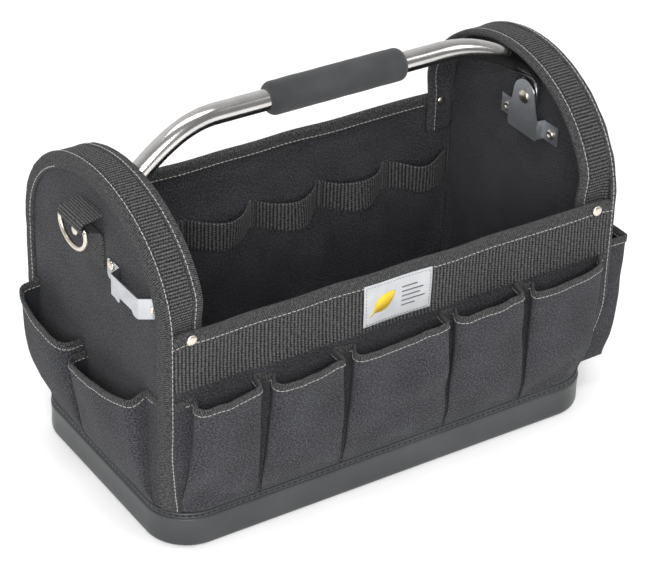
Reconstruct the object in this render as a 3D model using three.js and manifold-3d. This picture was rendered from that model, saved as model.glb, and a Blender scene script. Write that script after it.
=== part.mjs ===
// Garden tool bag: an open fabric tote on a moulded rubber tray, with arched ends,
// bellows pockets, a fold-down tube handle, and D-rings for a shoulder strap.
// Millimetres. X runs along the bag, the front faces -Y, Z is up.
// The origin is the middle of the tray's underside.

import * as THREE from 'three';
import { mergeVertices } from 'three/addons/utils/BufferGeometryUtils.js';
import Module from 'manifold-3d';

const wasm = await Module();
wasm.setup();

// ---------------------------------------------------------------- driving dimensions

const gap = 0.3;                    // clearance between pieces that touch
const halfLength = 230;             // to the outside of the end panels
const halfWidth = 125;              // to the outside of the front and back panels

const tray = { height: 30, lipTop: 36, lipInset: 1.5, wall: 3, floor: 3, cornerRadius: 41 };
const board = { thickness: 3, inset: 4.9 };
const panel = { thickness: 2.5, bottom: 36.4, rim: 222, cornerRadius: 3, cornerBlendTop: 130,
  crownInset: 2.6 };
const arch = { springLine: 222, rise: 111 };
const gusset = { inner: 195.6, outer: 227.2, thickness: 2.2, bottom: 226 };
const binding = { thickness: 1.7, lift: 0.9, around: [-4, -2, 0, 2, 4.5, 7, 9.5, 12] };
const innerBinding = { inner: 194, outer: 203, thickness: 1.4 };
const gussetWebbing = { inner: 203.3, outer: 225, thickness: 1.5 };
const rimBinding = { halfLength: 225, top: 225, bottom: 213, thickness: 2 };
const band = { halfLength: 225, bottom: 171, top: 212.7, thickness: 2 };
const rimRivet = { x: 209, z: 218.5, headRadius: 4.7, headHeight: 2.2, shank: 2 };

const pocketWall = 2;
const sidePocketEdges = [-216, -138.5, -53, 53, 138.5, 216];
const sidePocket = { top: 160, dip: 2, depth: 23, footDepth: 6, footScale: 205 / 216 };
const endPocket = { top: 152, dip: 24, depth: 35, footDepth: 6, footScale: 0.92 };
const boxPocket = { from: -109, to: -9, top: 165, depth: 35, footDepth: 18 };
const leftPocketEdges = [-113, 10, 113];
const pocketBottom = 37;

const toolLoop = { bottom: 136, top: 165, thickness: 1.8, bulge: 24, tab: 6, count: 6, reach: 225 };

const pivotHeight = 274;
const tube = { radius: 9.5, top: 343, straight: 112 };
const leg = { x: 222, halfThickness: 2, halfWidth: 16, hole: 4.5 };
const grip = { radius: 15, halfLength: 74, bore: 9.8 };
const bracket = {
  plate: 217.8, sheet: 1.2, halfWidth: 21, tongue: 16, bottom: 236, shoulder: 252,
  foldBottom: 238, foldTop: 257, flange: 43, screwY: 33, screwZ: 247,
};
const pivotRivet = { headRadius: 7, headHeight: 3, shank: 4, tailRadius: 7, tail: 1.5 };
const screw = { headRadius: 4.8, headHeight: 2.2, shank: 2.2, hole: 2.6 };

const strap = { halfWidth: 20, thickness: 1.5, bottom: 236, top: 289.5 };
const ring = { wire: 2.15, out: 19, z: 277.5, halfWidth: 22.85, drop: 23, corner: 5 };

const clip = {
  sheet: 1, out: 11, bottom: 231, top: 252, backEdge: -26, riseAt: -48, plateFrom: -52,
  plateTo: -95, fallAt: -93, frontEdge: -106.5, rivetY: -100, rivetZ: 241,
};
const label = { x: -6, z: 196.5, width: 70, height: 41, thickness: 1 };

// ---------------------------------------------------------------- materials

function finish(color, roughness, metalness = 0) {
  return new THREE.MeshStandardMaterial({ color, roughness, metalness });
}

const looks = {
  fabric: finish(0x26272a, 0.92),
  webbing: finish(0x1f2022, 0.85),
  trim: finish(0x2e2f32, 0.9),
  rubber: finish(0x1c1d1f, 0.62),
  board: finish(0x161617, 0.8),
  chrome: finish(0xc9c9c6, 0.18, 1),
  zinc: finish(0xd8d9da, 0.35, 0.9),
  nickel: finish(0xd6ccb8, 0.25, 1),
  foam: finish(0x3a3c40, 0.95),
  label: finish(0xe6e6e2, 0.7),
};

// ---------------------------------------------------------------- shape helpers

// Triangles that close one end of a loft, wound along the ring or against it.
function capTriangles(ring, alongRing) {
  const normal = new THREE.Vector3();
  ring.forEach((a, i) => {
    const b = ring[(i + 1) % ring.length];
    normal.x += (a.y - b.y) * (a.z + b.z);
    normal.y += (a.z - b.z) * (a.x + b.x);
    normal.z += (a.x - b.x) * (a.y + b.y);
  });
  const size = normal.toArray().map(Math.abs);
  const dropped = size.indexOf(Math.max(...size));
  const [u, v] = [0, 1, 2].filter((axis) => axis !== dropped);
  const flat = ring.map((p) => new THREE.Vector2(p.getComponent(u), p.getComponent(v)));
  const faces = THREE.ShapeUtils.triangulateShape(flat, []);
  const faceArea = THREE.ShapeUtils.area(faces[0].map((i) => flat[i]));
  const sameWay = (faceArea > 0) === (THREE.ShapeUtils.area(flat) > 0);
  return faces.map((face) => (sameWay === alongRing ? face : [face[0], face[2], face[1]]));
}

// A closed body through a row of rings with equal point counts. A looped loft joins its
// last ring to its first and has no ends.
function loft(rings, looped = false) {
  const count = rings[0].length;
  const indices = [];
  const lastSpan = looped ? rings.length : rings.length - 1;
  for (let i = 0; i < lastSpan; i += 1) {
    const here = i * count;
    const next = ((i + 1) % rings.length) * count;
    for (let j = 0; j < count; j += 1) {
      const k = (j + 1) % count;
      indices.push(here + j, here + k, next + k, here + j, next + k, next + j);
    }
  }
  if (!looped) {
    const end = (rings.length - 1) * count;
    capTriangles(rings[0], false).forEach((face) => indices.push(...face));
    capTriangles(rings.at(-1), true).forEach((face) => indices.push(...face.map((i) => i + end)));
  }
  const points = rings.flat();
  const geometry = new THREE.BufferGeometry().setFromPoints(points);
  geometry.setIndex(signedVolume(points, indices) < 0 ? indices.reverse() : indices);
  geometry.computeVertexNormals();
  return geometry;
}

function signedVolume(points, indices) {
  let volume = 0;
  const cross = new THREE.Vector3();
  for (let i = 0; i < indices.length; i += 3) {
    cross.crossVectors(points[indices[i + 1]], points[indices[i + 2]]);
    volume += points[indices[i]].dot(cross) / 6;
  }
  return volume;
}

// A strip of even thickness along an open 2-D line, laid on the line's left-hand side.
function stripOutline(line, thickness) {
  const normals = line.slice(1).map((p, i) => {
    const along = new THREE.Vector2().subVectors(p, line[i]).normalize();
    return new THREE.Vector2(-along.y, along.x);
  });
  const offset = line.map((p, i) => {
    const before = normals[Math.max(i - 1, 0)];
    const after = normals[Math.min(i, normals.length - 1)];
    const middle = new THREE.Vector2().addVectors(before, after).normalize();
    return p.clone().addScaledVector(middle, thickness / Math.max(middle.dot(after), 0.5));
  });
  return [...line, ...offset.reverse()];
}

function points2(...pairs) {
  return pairs.map(([a, b]) => new THREE.Vector2(a, b));
}

// A 2-D outline swept straight between two values of the remaining axis.
function prism(outline, from, to, place) {
  return loft([from, to].map((t) => outline.map((p) => place(p.x, p.y, t))));
}

function roundedRect(inset, z) {
  const radius = tray.cornerRadius - inset;
  const centreX = halfLength - tray.cornerRadius;
  const centreY = halfWidth - tray.cornerRadius;
  const steps = 6;
  const ringPoints = [];
  [[1, 1], [-1, 1], [-1, -1], [1, -1]].forEach(([sx, sy], quarter) => {
    for (let i = 0; i <= steps; i += 1) {
      const angle = (quarter + i / steps) * Math.PI / 2;
      const x = sx * centreX + radius * Math.cos(angle);
      const y = sy * centreY + radius * Math.sin(angle);
      ringPoints.push(new THREE.Vector3(x, y, z));
    }
  });
  return ringPoints;
}

// ---------------------------------------------------------------- solid booleans

function toSolid(geometry) {
  const bare = geometry.clone();
  bare.deleteAttribute('normal');
  bare.deleteAttribute('uv');
  const merged = mergeVertices(bare, 1e-4);
  return new wasm.Manifold(new wasm.Mesh({
    numProp: 3,
    vertProperties: new Float32Array(merged.attributes.position.array),
    triVerts: new Uint32Array(merged.index.array),
  }));
}

function toGeometry(solid) {
  const mesh = solid.getMesh();
  const geometry = new THREE.BufferGeometry();
  geometry.setAttribute('position', new THREE.BufferAttribute(mesh.vertProperties, 3));
  geometry.setIndex(new THREE.BufferAttribute(mesh.triVerts, 1));
  geometry.computeVertexNormals();
  return geometry;
}

function drill(geometry, holes) {
  let solid = toSolid(geometry);
  holes.forEach(({ axis, centre, radius, length }) => {
    const bit = new THREE.CylinderGeometry(radius, radius, length, 16);
    if (axis === 'x') bit.rotateZ(Math.PI / 2);
    bit.translate(...centre);
    solid = solid.subtract(toSolid(bit));
  });
  return toGeometry(solid);
}

function unite(first, second) {
  return toGeometry(toSolid(first).add(toSolid(second)));
}

// ---------------------------------------------------------------- assembly

const bag = new THREE.Group();

function add(name, geometry, look) {
  const mesh = new THREE.Mesh(geometry, looks[look]);
  mesh.name = name;
  bag.add(mesh);
  return mesh;
}

const ends = [{ side: 'left', sign: -1 }, { side: 'right', sign: 1 }];
const faces = [{ side: 'front', sign: -1 }, { side: 'back', sign: 1 }];

// ---------------------------------------------------------------- tray and board

function trayGeometry() {
  const inner = tray.lipInset + tray.wall;
  return loft([
    roundedRect(4, 0),
    roundedRect(1.2, 1.2),
    roundedRect(0, 4),
    roundedRect(0, tray.height),
    roundedRect(tray.lipInset, tray.height + 1.5),
    roundedRect(tray.lipInset, tray.lipTop),
    roundedRect(inner, tray.lipTop),
    roundedRect(inner, tray.floor),
  ]);
}

function boardGeometry() {
  const bottom = tray.floor + gap;
  return loft([roundedRect(board.inset, bottom), roundedRect(board.inset, bottom + board.thickness)]);
}

add('base_tray', trayGeometry(), 'rubber');
add('base_board', boardGeometry(), 'board');

// ---------------------------------------------------------------- body shell

// The body's upright corners are tight at the top and open out to the tray's radius below.
function cornerRadiusAt(z) {
  const t = THREE.MathUtils.smoothstep(z, tray.lipTop, panel.cornerBlendTop);
  return THREE.MathUtils.lerp(tray.cornerRadius, panel.cornerRadius, t);
}

const uprightLevels = [panel.bottom, 60, 85, 110, panel.cornerBlendTop, 170];

function archAngles() {
  return Array.from({ length: 17 }, (_, i) => (i + 1) * Math.PI / 18);
}

// One wall's plan section: flat in the middle, turning into both corners as far as the seam.
function wallSection(reach, out, radius, z, place) {
  const steps = 4;
  const seam = Math.PI / 4 - 0.25 / radius;
  const half = (surfaceRadius) => Array.from({ length: steps + 1 }, (_, i) => {
    const angle = seam * (1 - i / steps);
    const along = reach - radius + surfaceRadius * Math.sin(angle);
    return [along, out - radius + surfaceRadius * Math.cos(angle)];
  });
  const outside = half(radius);
  const inside = half(radius - panel.thickness);
  const mirrored = (points) => [...points].reverse().map(([along, w]) => [-along, w]);
  const outline = [...outside, ...mirrored(outside), ...[...mirrored(inside)].reverse(),
    ...[...inside].reverse()];
  return outline.map(([along, w]) => place(along, w, z));
}

function sidePanelGeometry(sign) {
  const place = (along, out, z) => new THREE.Vector3(along, sign * out, z);
  const levels = [...uprightLevels, panel.rim];
  return loft(levels.map((z) => wallSection(halfLength, halfWidth, cornerRadiusAt(z), z, place)));
}

function endPanelGeometry(sign) {
  const place = (along, out, z) => new THREE.Vector3(sign * out, along, z);
  const upright = [...uprightLevels, arch.springLine].map((z) => [z, halfWidth]);
  const curved = [10, 20, 30, 40, 50, 60, 70, 80, 88].map((degrees) => {
    const angle = THREE.MathUtils.degToRad(degrees);
    const inset = panel.crownInset * Math.sin(angle);
    return [
      arch.springLine + (arch.rise - inset) * Math.sin(angle),
      (halfWidth - inset) * Math.cos(angle),
    ];
  });
  const rings = [...upright, ...curved].map(([z, reach]) =>
    wallSection(reach, halfLength, cornerRadiusAt(z), z, place));
  return loft(rings);
}

const rimRivetHoles = (sign) => [-1, 1].map((end) => ({
  axis: 'y', centre: [end * rimRivet.x, sign * halfWidth, rimRivet.z],
  radius: rimRivet.shank + gap, length: 30,
}));
const endHoles = (sign) => [-1, 1].map((way) => ({
  axis: 'x', centre: [sign * halfLength, way * bracket.screwY, bracket.screwZ],
  radius: screw.hole, length: 30,
}));

faces.forEach(({ side, sign }) => {
  add(`${side}_panel`, drill(sidePanelGeometry(sign), rimRivetHoles(sign)), 'fabric');
});
ends.forEach(({ side, sign }) => {
  const clipRivetHole = { axis: 'x', centre: [-halfLength, clip.rivetY, clip.rivetZ], radius: 2.3, length: 6 };
  const holes = side === 'left' ? [...endHoles(sign), clipRivetHole] : endHoles(sign);
  add(`${side}_end_panel`, drill(endPanelGeometry(sign), holes), 'fabric');
});

// ---------------------------------------------------------------- arch bands and bindings

function archFrame(angle) {
  const normal = new THREE.Vector2(-Math.cos(angle) / halfWidth, Math.sin(angle) / arch.rise).normalize();
  return {
    y: -halfWidth * Math.cos(angle), z: arch.springLine + arch.rise * Math.sin(angle),
    ny: normal.x, nz: normal.y, radius: panel.cornerRadius,
  };
}

// Frames over the arch alone, from the front rim to the back rim.
function gussetFrames() {
  const start = Math.asin((gusset.bottom - arch.springLine) / arch.rise);
  const angles = [start, ...archAngles().filter((a) => a > start && a < Math.PI - start), Math.PI - start];
  return angles.map(archFrame);
}

// Frames up the front corner, over the arch and down the back corner.
function edgeFrames() {
  const levels = [...uprightLevels, arch.springLine];
  const upright = (z, way) => ({ y: way * halfWidth, z, ny: way, nz: 0, radius: cornerRadiusAt(z) });
  return [
    ...levels.map((z) => upright(z, -1)),
    ...archAngles().map(archFrame),
    ...[...levels].reverse().map((z) => upright(z, 1)),
  ];
}

// A point at a distance round the body's corner from its seam: positive on the end panel,
// negative on the side or arch, and lifted off the surface.
function cornerPoint(frame, sign, around, lift) {
  const quarter = frame.radius * Math.PI / 4;
  const angle = THREE.MathUtils.clamp(Math.PI / 4 - around / frame.radius, 0, Math.PI / 2);
  let out = -frame.radius + (frame.radius + lift) * Math.cos(angle);
  let up = -frame.radius + (frame.radius + lift) * Math.sin(angle);
  if (around > quarter) up -= around - quarter;
  if (around < -quarter) out -= -around - quarter;
  const x = sign * (halfLength + out);
  return new THREE.Vector3(x, frame.y + frame.ny * up, frame.z + frame.nz * up);
}

function outerBindingGeometry(sign) {
  const { around, lift, thickness } = binding;
  const rings = edgeFrames().map((frame) => [
    ...around.map((s) => cornerPoint(frame, sign, s, lift + thickness)),
    ...[...around].reverse().map((s) => cornerPoint(frame, sign, s, lift)),
  ]);
  return loft(rings);
}

// A section in X and height above the arch's outer surface, swept over the arch.
function archSweep(section, sign) {
  return loft(gussetFrames().map((frame) => section.map(([x, lift]) =>
    new THREE.Vector3(sign * x, frame.y + frame.ny * lift, frame.z + frame.nz * lift))));
}

function bandSection(inner, outer, bottom, top) {
  return [[inner, bottom], [outer, bottom], [outer, top], [inner, top]];
}

function innerBindingSection() {
  const t = innerBinding.thickness;
  const low = -gusset.thickness - gap;
  const slot = innerBinding.inner + t - 0.1;
  return [
    [innerBinding.inner, low - t], [innerBinding.outer, low - t], [innerBinding.outer, low],
    [slot, low], [slot, gap], [innerBinding.outer, gap],
    [innerBinding.outer, gap + t], [innerBinding.inner, gap + t],
  ];
}

ends.forEach(({ side, sign }) => {
  const gussetBand = bandSection(gusset.inner, gusset.outer, -gusset.thickness, 0);
  const { inner, outer, thickness } = gussetWebbing;
  const webbingBand = bandSection(inner, outer, gap, gap + thickness);
  add(`${side}_gusset`, archSweep(gussetBand, sign), 'fabric');
  add(`${side}_gusset_webbing`, archSweep(webbingBand, sign), 'webbing');
  add(`${side}_outer_binding`, outerBindingGeometry(sign), 'trim');
  add(`${side}_inner_binding`, archSweep(innerBindingSection(), sign), 'trim');
});

// ---------------------------------------------------------------- rims and long bands

function rimBindingGeometry(sign) {
  const outside = halfWidth + gap;
  const inside = halfWidth - panel.thickness - gap;
  const t = rimBinding.thickness;
  const underTop = panel.rim + gap;
  const outline = points2(
    [outside + t, rimBinding.bottom], [outside + t, rimBinding.top], [inside - t, rimBinding.top],
    [inside - t, rimBinding.bottom], [inside, rimBinding.bottom], [inside, underTop],
    [outside, underTop], [outside, rimBinding.bottom],
  );
  const place = (out, z, x) => new THREE.Vector3(x, sign * out, z);
  return prism(outline, -rimBinding.halfLength, rimBinding.halfLength, place);
}

function longBandGeometry(sign) {
  const geometry = new THREE.BoxGeometry(2 * band.halfLength, band.thickness, band.top - band.bottom);
  const out = halfWidth + gap + band.thickness / 2;
  return geometry.translate(0, sign * out, (band.top + band.bottom) / 2);
}

// A fastener along +Z with a domed head at each end, its shank between them.
function rivetGeometry(headRadius, headHeight, shankRadius, shankLength) {
  const half = shankLength / 2;
  const dome = (direction) => Array.from({ length: 3 }, (_, i) => {
    const angle = (i / 3) * Math.PI / 2;
    const height = half + 0.5 + (headHeight - 0.5) * Math.sin(angle);
    return [headRadius * Math.cos(angle), direction * height];
  });
  const profile = [
    [0, -half - headHeight], ...dome(-1).reverse(), [headRadius, -half], [shankRadius, -half],
    [shankRadius, half], [headRadius, half], ...dome(1), [0, half + headHeight],
  ];
  return new THREE.LatheGeometry(points2(...profile), 10).rotateX(Math.PI / 2);
}

faces.forEach(({ side, sign }) => {
  add(`${side}_rim_binding`, drill(rimBindingGeometry(sign), rimRivetHoles(sign)), 'trim');
  add(`${side}_webbing_band`, longBandGeometry(sign), 'webbing');
  const stack = panel.thickness + 2 * (rimBinding.thickness + gap) + 2 * gap;
  ends.forEach((end) => {
    const geometry = rivetGeometry(rimRivet.headRadius, rimRivet.headHeight, rimRivet.shank, stack);
    const rivet = add(`${side}_${end.side}_rim_rivet`, geometry, 'nickel');
    rivet.rotation.x = Math.PI / 2;
    rivet.position.set(end.sign * rimRivet.x, sign * (halfWidth - panel.thickness / 2), rimRivet.z);
  });
});

const labelGeometry = new THREE.BoxGeometry(label.width, label.thickness, label.height);
const labelPlate = add('front_label', labelGeometry, 'label');
const labelOut = halfWidth + 2 * gap + band.thickness + label.thickness / 2;
labelPlate.position.set(label.x, -labelOut, label.z);

// ---------------------------------------------------------------- pockets

// How far the rounded corner has fallen back from a wall's flat plane.
function wallFallback(along, reach, z) {
  const radius = cornerRadiusAt(z);
  const past = Math.max(Math.abs(along) - (reach - radius), 0);
  return radius - Math.sqrt(Math.max(radius * radius - past * past, 0));
}

// An open-backed, open-topped sleeve with bellows sides, standing on a wall.
// shape: from, to, top, dip, depth, footDepth, footScale. reach: half the wall's width.
function pocketGeometry(shape, reach, out, toWorld) {
  const levels = [0, 0.25, 0.5, 0.75, 1];
  const round = 5;
  const rings = levels.map((t) => {
    const z = THREE.MathUtils.lerp(pocketBottom, shape.top, t);
    const scale = THREE.MathUtils.lerp(shape.footScale, 1, t);
    const depth = THREE.MathUtils.lerp(shape.footDepth, shape.depth, Math.pow(t, 0.8));
    const pleat = THREE.MathUtils.lerp(1.5, 6, t);
    const from = shape.from * scale + 1.5;
    const to = shape.to * scale - 1.5;
    const r = Math.min(round, depth - pocketWall);
    const rootInset = pleat + pocketWall + 0.5;
    const rootFrom = 2 * gap - wallFallback(from + rootInset, reach, z);
    const rootTo = 2 * gap - wallFallback(to - rootInset, reach, z);
    const line = points2(
      [from + pleat, rootFrom], [from, depth - r], [from + 0.3 * r, depth - 0.3 * r],
      [from + r, depth], [(from + to) / 2, depth + 0.8], [to - r, depth],
      [to - 0.3 * r, depth - 0.3 * r], [to, depth - r], [to - pleat, rootTo],
    );
    const dipHere = shape.dip * t * t;
    return stripOutline(line, -pocketWall).map((p) => {
      const lowered = z - dipHere * THREE.MathUtils.clamp(p.y / depth, 0, 1);
      return toWorld(p.x, out + p.y, lowered);
    });
  });
  return loft(rings);
}

faces.forEach(({ side, sign }) => {
  sidePocketEdges.slice(1).forEach((edge, i) => {
    const shape = { ...sidePocket, from: sidePocketEdges[i], to: edge };
    const toWorld = (along, out, z) => new THREE.Vector3(along, sign * out, z);
    add(`${side}_pocket_${i + 1}`, pocketGeometry(shape, halfLength, halfWidth, toWorld), 'fabric');
  });
});

const onLeftEnd = (along, out, z) => new THREE.Vector3(-out, along, z);
const onRightEnd = (along, out, z) => new THREE.Vector3(out, along, z);
['front', 'back'].forEach((half, i) => {
  const shape = { ...endPocket, from: leftPocketEdges[i], to: leftPocketEdges[i + 1] };
  add(`left_${half}_pocket`, pocketGeometry(shape, halfWidth, halfLength, onLeftEnd), 'fabric');
});
const rightPocketShape = { ...boxPocket, dip: 2, footScale: endPocket.footScale };
add('right_box_pocket', pocketGeometry(rightPocketShape, halfWidth, halfLength, onRightEnd), 'fabric');

// ---------------------------------------------------------------- tool loops inside the back

function toolLoopGeometry(from, to) {
  const span = to - from - 2 * toolLoop.tab;
  const steps = 10;
  const arc = Array.from({ length: steps + 1 }, (_, i) => {
    const t = i / steps;
    return [from + toolLoop.tab + span * t, toolLoop.bulge * Math.pow(Math.sin(Math.PI * t), 0.75)];
  });
  const line = points2([from, 0], ...arc, [to, 0]);
  const wall = halfWidth - panel.thickness - gap;
  const place = (x, out, z) => new THREE.Vector3(x, wall - out, z);
  return prism(stripOutline(line, toolLoop.thickness), toolLoop.bottom, toolLoop.top, place);
}

const loopPitch = 2 * toolLoop.reach / toolLoop.count;
for (let i = 0; i < toolLoop.count; i += 1) {
  const from = -toolLoop.reach + i * loopPitch;
  const geometry = toolLoopGeometry(from + 0.5, from + loopPitch - 0.5);
  add(`tool_loop_${i + 1}`, geometry, 'webbing');
}

// ---------------------------------------------------------------- handle

// One ring round the handle's centre line. squareness 2 is round, higher is a flat bar.
function handleRing({ x, z, tilt, thin, wide, squareness }) {
  const count = 16;
  return Array.from({ length: count }, (_, i) => {
    const angle = (i / count) * 2 * Math.PI;
    const shaped = (value) => Math.sign(value) * Math.pow(Math.abs(value), 2 / squareness);
    const across = thin * shaped(Math.cos(angle));
    const y = wide * shaped(Math.sin(angle));
    return new THREE.Vector3(x + across * Math.sin(tilt), y, z + across * Math.cos(tilt));
  });
}

function handleStations() {
  const round = { thin: tube.radius, wide: tube.radius, squareness: 2 };
  const bend = new THREE.CubicBezierCurve(...points2([tube.straight, tube.top], [148, tube.top],
    [183, 324], [212, 302]));
  const bent = [0, 0.15, 0.3, 0.45, 0.6, 0.72, 0.85].map((t) => {
    const point = bend.getPoint(t);
    const tangent = bend.getTangent(t);
    return { x: point.x, z: point.y, tilt: Math.atan2(-tangent.y, tangent.x), ...round };
  });
  const upright = Math.PI / 2;
  const flat = { x: leg.x, tilt: upright, thin: leg.halfThickness, squareness: 8 };
  const flattened = [
    { x: 209.5, z: 305.5, tilt: 0.85, thin: 6.8, wide: 12, squareness: 2.6 },
    { x: 217, z: 299.5, tilt: 1.15, thin: 3.6, wide: 15, squareness: 4 },
    { ...flat, z: 294.5, wide: leg.halfWidth },
  ];
  const rounded = [0, 0.4, 0.7, 0.9, 0.99].map((drop) => ({
    ...flat, z: pivotHeight - drop * leg.halfWidth, wide: leg.halfWidth * Math.sqrt(1 - drop * drop),
  }));
  return [...bent, ...flattened, ...rounded];
}

function handleTubeGeometry() {
  const right = handleStations().map(handleRing);
  const left = right.map((points) => points.map((p) => new THREE.Vector3(-p.x, p.y, p.z)));
  const pivotHoles = [-1, 1].map((sign) => ({
    axis: 'x', centre: [sign * leg.x, 0, pivotHeight], radius: leg.hole, length: 12,
  }));
  return drill(loft([...left.reverse(), ...right]), pivotHoles);
}

function gripGeometry() {
  const end = grip.halfLength;
  const profile = points2(
    [grip.bore, -end + 1], [grip.radius - 4, -end], [grip.radius - 1.2, -end + 1.5],
    [grip.radius, -end + 5], [grip.radius, end - 5], [grip.radius - 1.2, end - 1.5],
    [grip.radius - 4, end], [grip.bore, end - 1], [grip.bore, -end + 1],
  );
  return new THREE.LatheGeometry(profile, 20);
}

add('handle_tube', handleTubeGeometry(), 'chrome');
const gripMesh = add('handle_grip', gripGeometry(), 'foam');
gripMesh.rotation.z = -Math.PI / 2;
gripMesh.position.z = tube.top;

// ---------------------------------------------------------------- handle brackets

function bracketGeometry(sign) {
  const { plate, sheet, halfWidth: half, tongue, flange } = bracket;
  const wallFace = halfLength - panel.thickness - gap;
  const hat = points2(
    [-flange, wallFace - sheet], [-half - sheet, wallFace - sheet], [-half - sheet, plate],
    [half + sheet, plate], [half + sheet, wallFace - sheet], [flange, wallFace - sheet],
    [flange, wallFace], [half, wallFace], [half, plate + sheet],
    [-half, plate + sheet], [-half, wallFace], [-flange, wallFace],
  );
  const placeHat = (y, x, z) => new THREE.Vector3(sign * x, y, z);
  const folds = prism(hat, bracket.foldBottom, bracket.foldTop, placeHat);
  const crown = Array.from({ length: 13 }, (_, i) => {
    const angle = i * Math.PI / 12;
    return [tongue * Math.cos(angle), pivotHeight + tongue * Math.sin(angle)];
  });
  const face = points2([-half, bracket.shoulder], [-half, bracket.bottom], [half, bracket.bottom],
    [half, bracket.shoulder], ...crown);
  const placeFace = (y, z, x) => new THREE.Vector3(sign * x, y, z);
  const tongueBody = prism(face, plate, plate + sheet, placeFace);
  const pivotHole = { axis: 'x', centre: [sign * plate, 0, pivotHeight], radius: leg.hole, length: 10 };
  return drill(unite(folds, tongueBody), [pivotHole, ...endHoles(sign)]);
}

// The rivet that the handle turns on: domed inside the bag, with a flat tail behind the leg.
function pivotRivetGeometry() {
  const { headRadius, headHeight, shank, tailRadius, tail } = pivotRivet;
  const plateFace = -gap;
  const tailFace = leg.x + leg.halfThickness + gap - bracket.plate;
  const dome = [0.3, 0.6, 0.85].map((t) => [
    headRadius * Math.sqrt(1 - t * t), plateFace - 0.6 - (headHeight - 0.6) * t,
  ]).reverse();
  const profile = points2(
    [0, plateFace - headHeight], ...dome, [headRadius, plateFace - 0.6], [headRadius, plateFace],
    [shank, plateFace], [shank, tailFace], [tailRadius, tailFace],
    [tailRadius, tailFace + tail], [0, tailFace + tail],
  );
  return new THREE.LatheGeometry(profile, 20);
}

ends.forEach(({ side, sign }) => {
  add(`${side}_handle_bracket`, bracketGeometry(sign), 'zinc');
  const rivet = add(`${side}_pivot_rivet`, pivotRivetGeometry(), 'nickel');
  rivet.rotation.z = -sign * Math.PI / 2;
  rivet.position.set(sign * bracket.plate, 0, pivotHeight);
  [['front', -1], ['back', 1]].forEach(([half, way]) => {
    const innerFace = halfLength - panel.thickness - gap - bracket.sheet - gap;
    const underClip = side === 'left' && half === 'front';
    const outerFace = halfLength + gap + (underClip ? clip.sheet + gap : 0);
    const length = outerFace - innerFace;
    const geometry = rivetGeometry(screw.headRadius, screw.headHeight, screw.shank, length);
    const bolt = add(`${side}_${half}_bracket_screw`, geometry, 'nickel');
    bolt.rotation.y = Math.PI / 2;
    bolt.position.set(sign * (innerFace + outerFace) / 2, way * bracket.screwY, bracket.screwZ);
  });
});

// ---------------------------------------------------------------- D-rings and their straps

// A webbing tab flat on the end panel, folded into a loop at its top round the ring's bar.
function strapGeometry(sign) {
  const tabFace = halfLength + gap;
  const t = strap.thickness;
  const hold = ring.wire + 1.2;
  const bar = halfLength + ring.out;
  const arc = (radius, from, to) => Array.from({ length: 9 }, (_, i) => {
    const angle = THREE.MathUtils.degToRad(THREE.MathUtils.lerp(from, to, i / 8));
    return [bar + radius * Math.cos(angle), ring.z + radius * Math.sin(angle)];
  });
  const outline = points2(
    [tabFace, strap.bottom], [tabFace + t, strap.bottom], [tabFace + t, ring.z - hold - t - 0.5],
    ...arc(hold + t, -95, 75), [tabFace + t, strap.top], [tabFace, strap.top],
  );
  const shape = new THREE.Shape(outline);
  const inside = points2(
    [tabFace + 2 * t, ring.z - hold], ...arc(hold, -95, 75), [tabFace + 2 * t, strap.top - 2 * t],
  );
  shape.holes.push(new THREE.Path(inside));
  const geometry = new THREE.ExtrudeGeometry(shape, { depth: 2 * strap.halfWidth, bevelEnabled: false });
  geometry.translate(0, 0, -strap.halfWidth);
  geometry.rotateX(Math.PI / 2);
  if (sign < 0) geometry.rotateZ(Math.PI);
  return toGeometry(toSolid(geometry));
}

function dRingGeometry(sign) {
  const { halfWidth: half, corner, drop, wire } = ring;
  const path = points2([0, 0], [half - corner - 1, 0]);
  [60, 30, 0].forEach((degrees) => {
    const a = THREE.MathUtils.degToRad(degrees);
    path.push(new THREE.Vector2(half - corner + corner * Math.cos(a), -corner + corner * Math.sin(a)));
  });
  for (let i = 1; i <= 8; i += 1) {
    const a = (i / 8) * Math.PI / 2;
    path.push(new THREE.Vector2(half * Math.cos(a), -corner - (drop - corner) * Math.sin(a)));
  }
  const mirrored = path.slice(1, -1).reverse().map((p) => new THREE.Vector2(-p.x, p.y));
  const loop = [...path, ...mirrored];
  const rings = loop.map((p, i) => {
    const before = loop[(i + loop.length - 1) % loop.length];
    const after = loop[(i + 1) % loop.length];
    const along = new THREE.Vector2().subVectors(after, before).normalize();
    return Array.from({ length: 10 }, (_, k) => {
      const angle = (k / 10) * 2 * Math.PI;
      const across = wire * Math.cos(angle);
      const x = sign * (halfLength + ring.out + wire * Math.sin(angle));
      return new THREE.Vector3(x, p.x - along.y * across, ring.z + p.y + along.x * across);
    });
  });
  return loft(rings, true);
}

ends.forEach(({ side, sign }) => {
  add(`${side}_ring_strap`, strapGeometry(sign), 'webbing');
  add(`${side}_d_ring`, dRingGeometry(sign), 'nickel');
});

// ---------------------------------------------------------------- tape clip

function tapeClipGeometry() {
  const root = gap;
  const line = points2(
    [clip.backEdge, root], [clip.riseAt, root], [clip.plateFrom, clip.out],
    [clip.plateTo, clip.out], [clip.fallAt, root], [clip.frontEdge, root],
  );
  const place = (y, out, z) => new THREE.Vector3(-halfLength - out, y, z);
  const hat = prism(stripOutline(line, -clip.sheet), clip.bottom, clip.top, place);
  const holes = [
    { axis: 'x', centre: [-halfLength, -bracket.screwY, bracket.screwZ], radius: screw.hole, length: 8 },
    { axis: 'x', centre: [-halfLength, clip.rivetY, clip.rivetZ], radius: 2.3, length: 8 },
  ];
  return drill(hat, holes);
}

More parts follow.
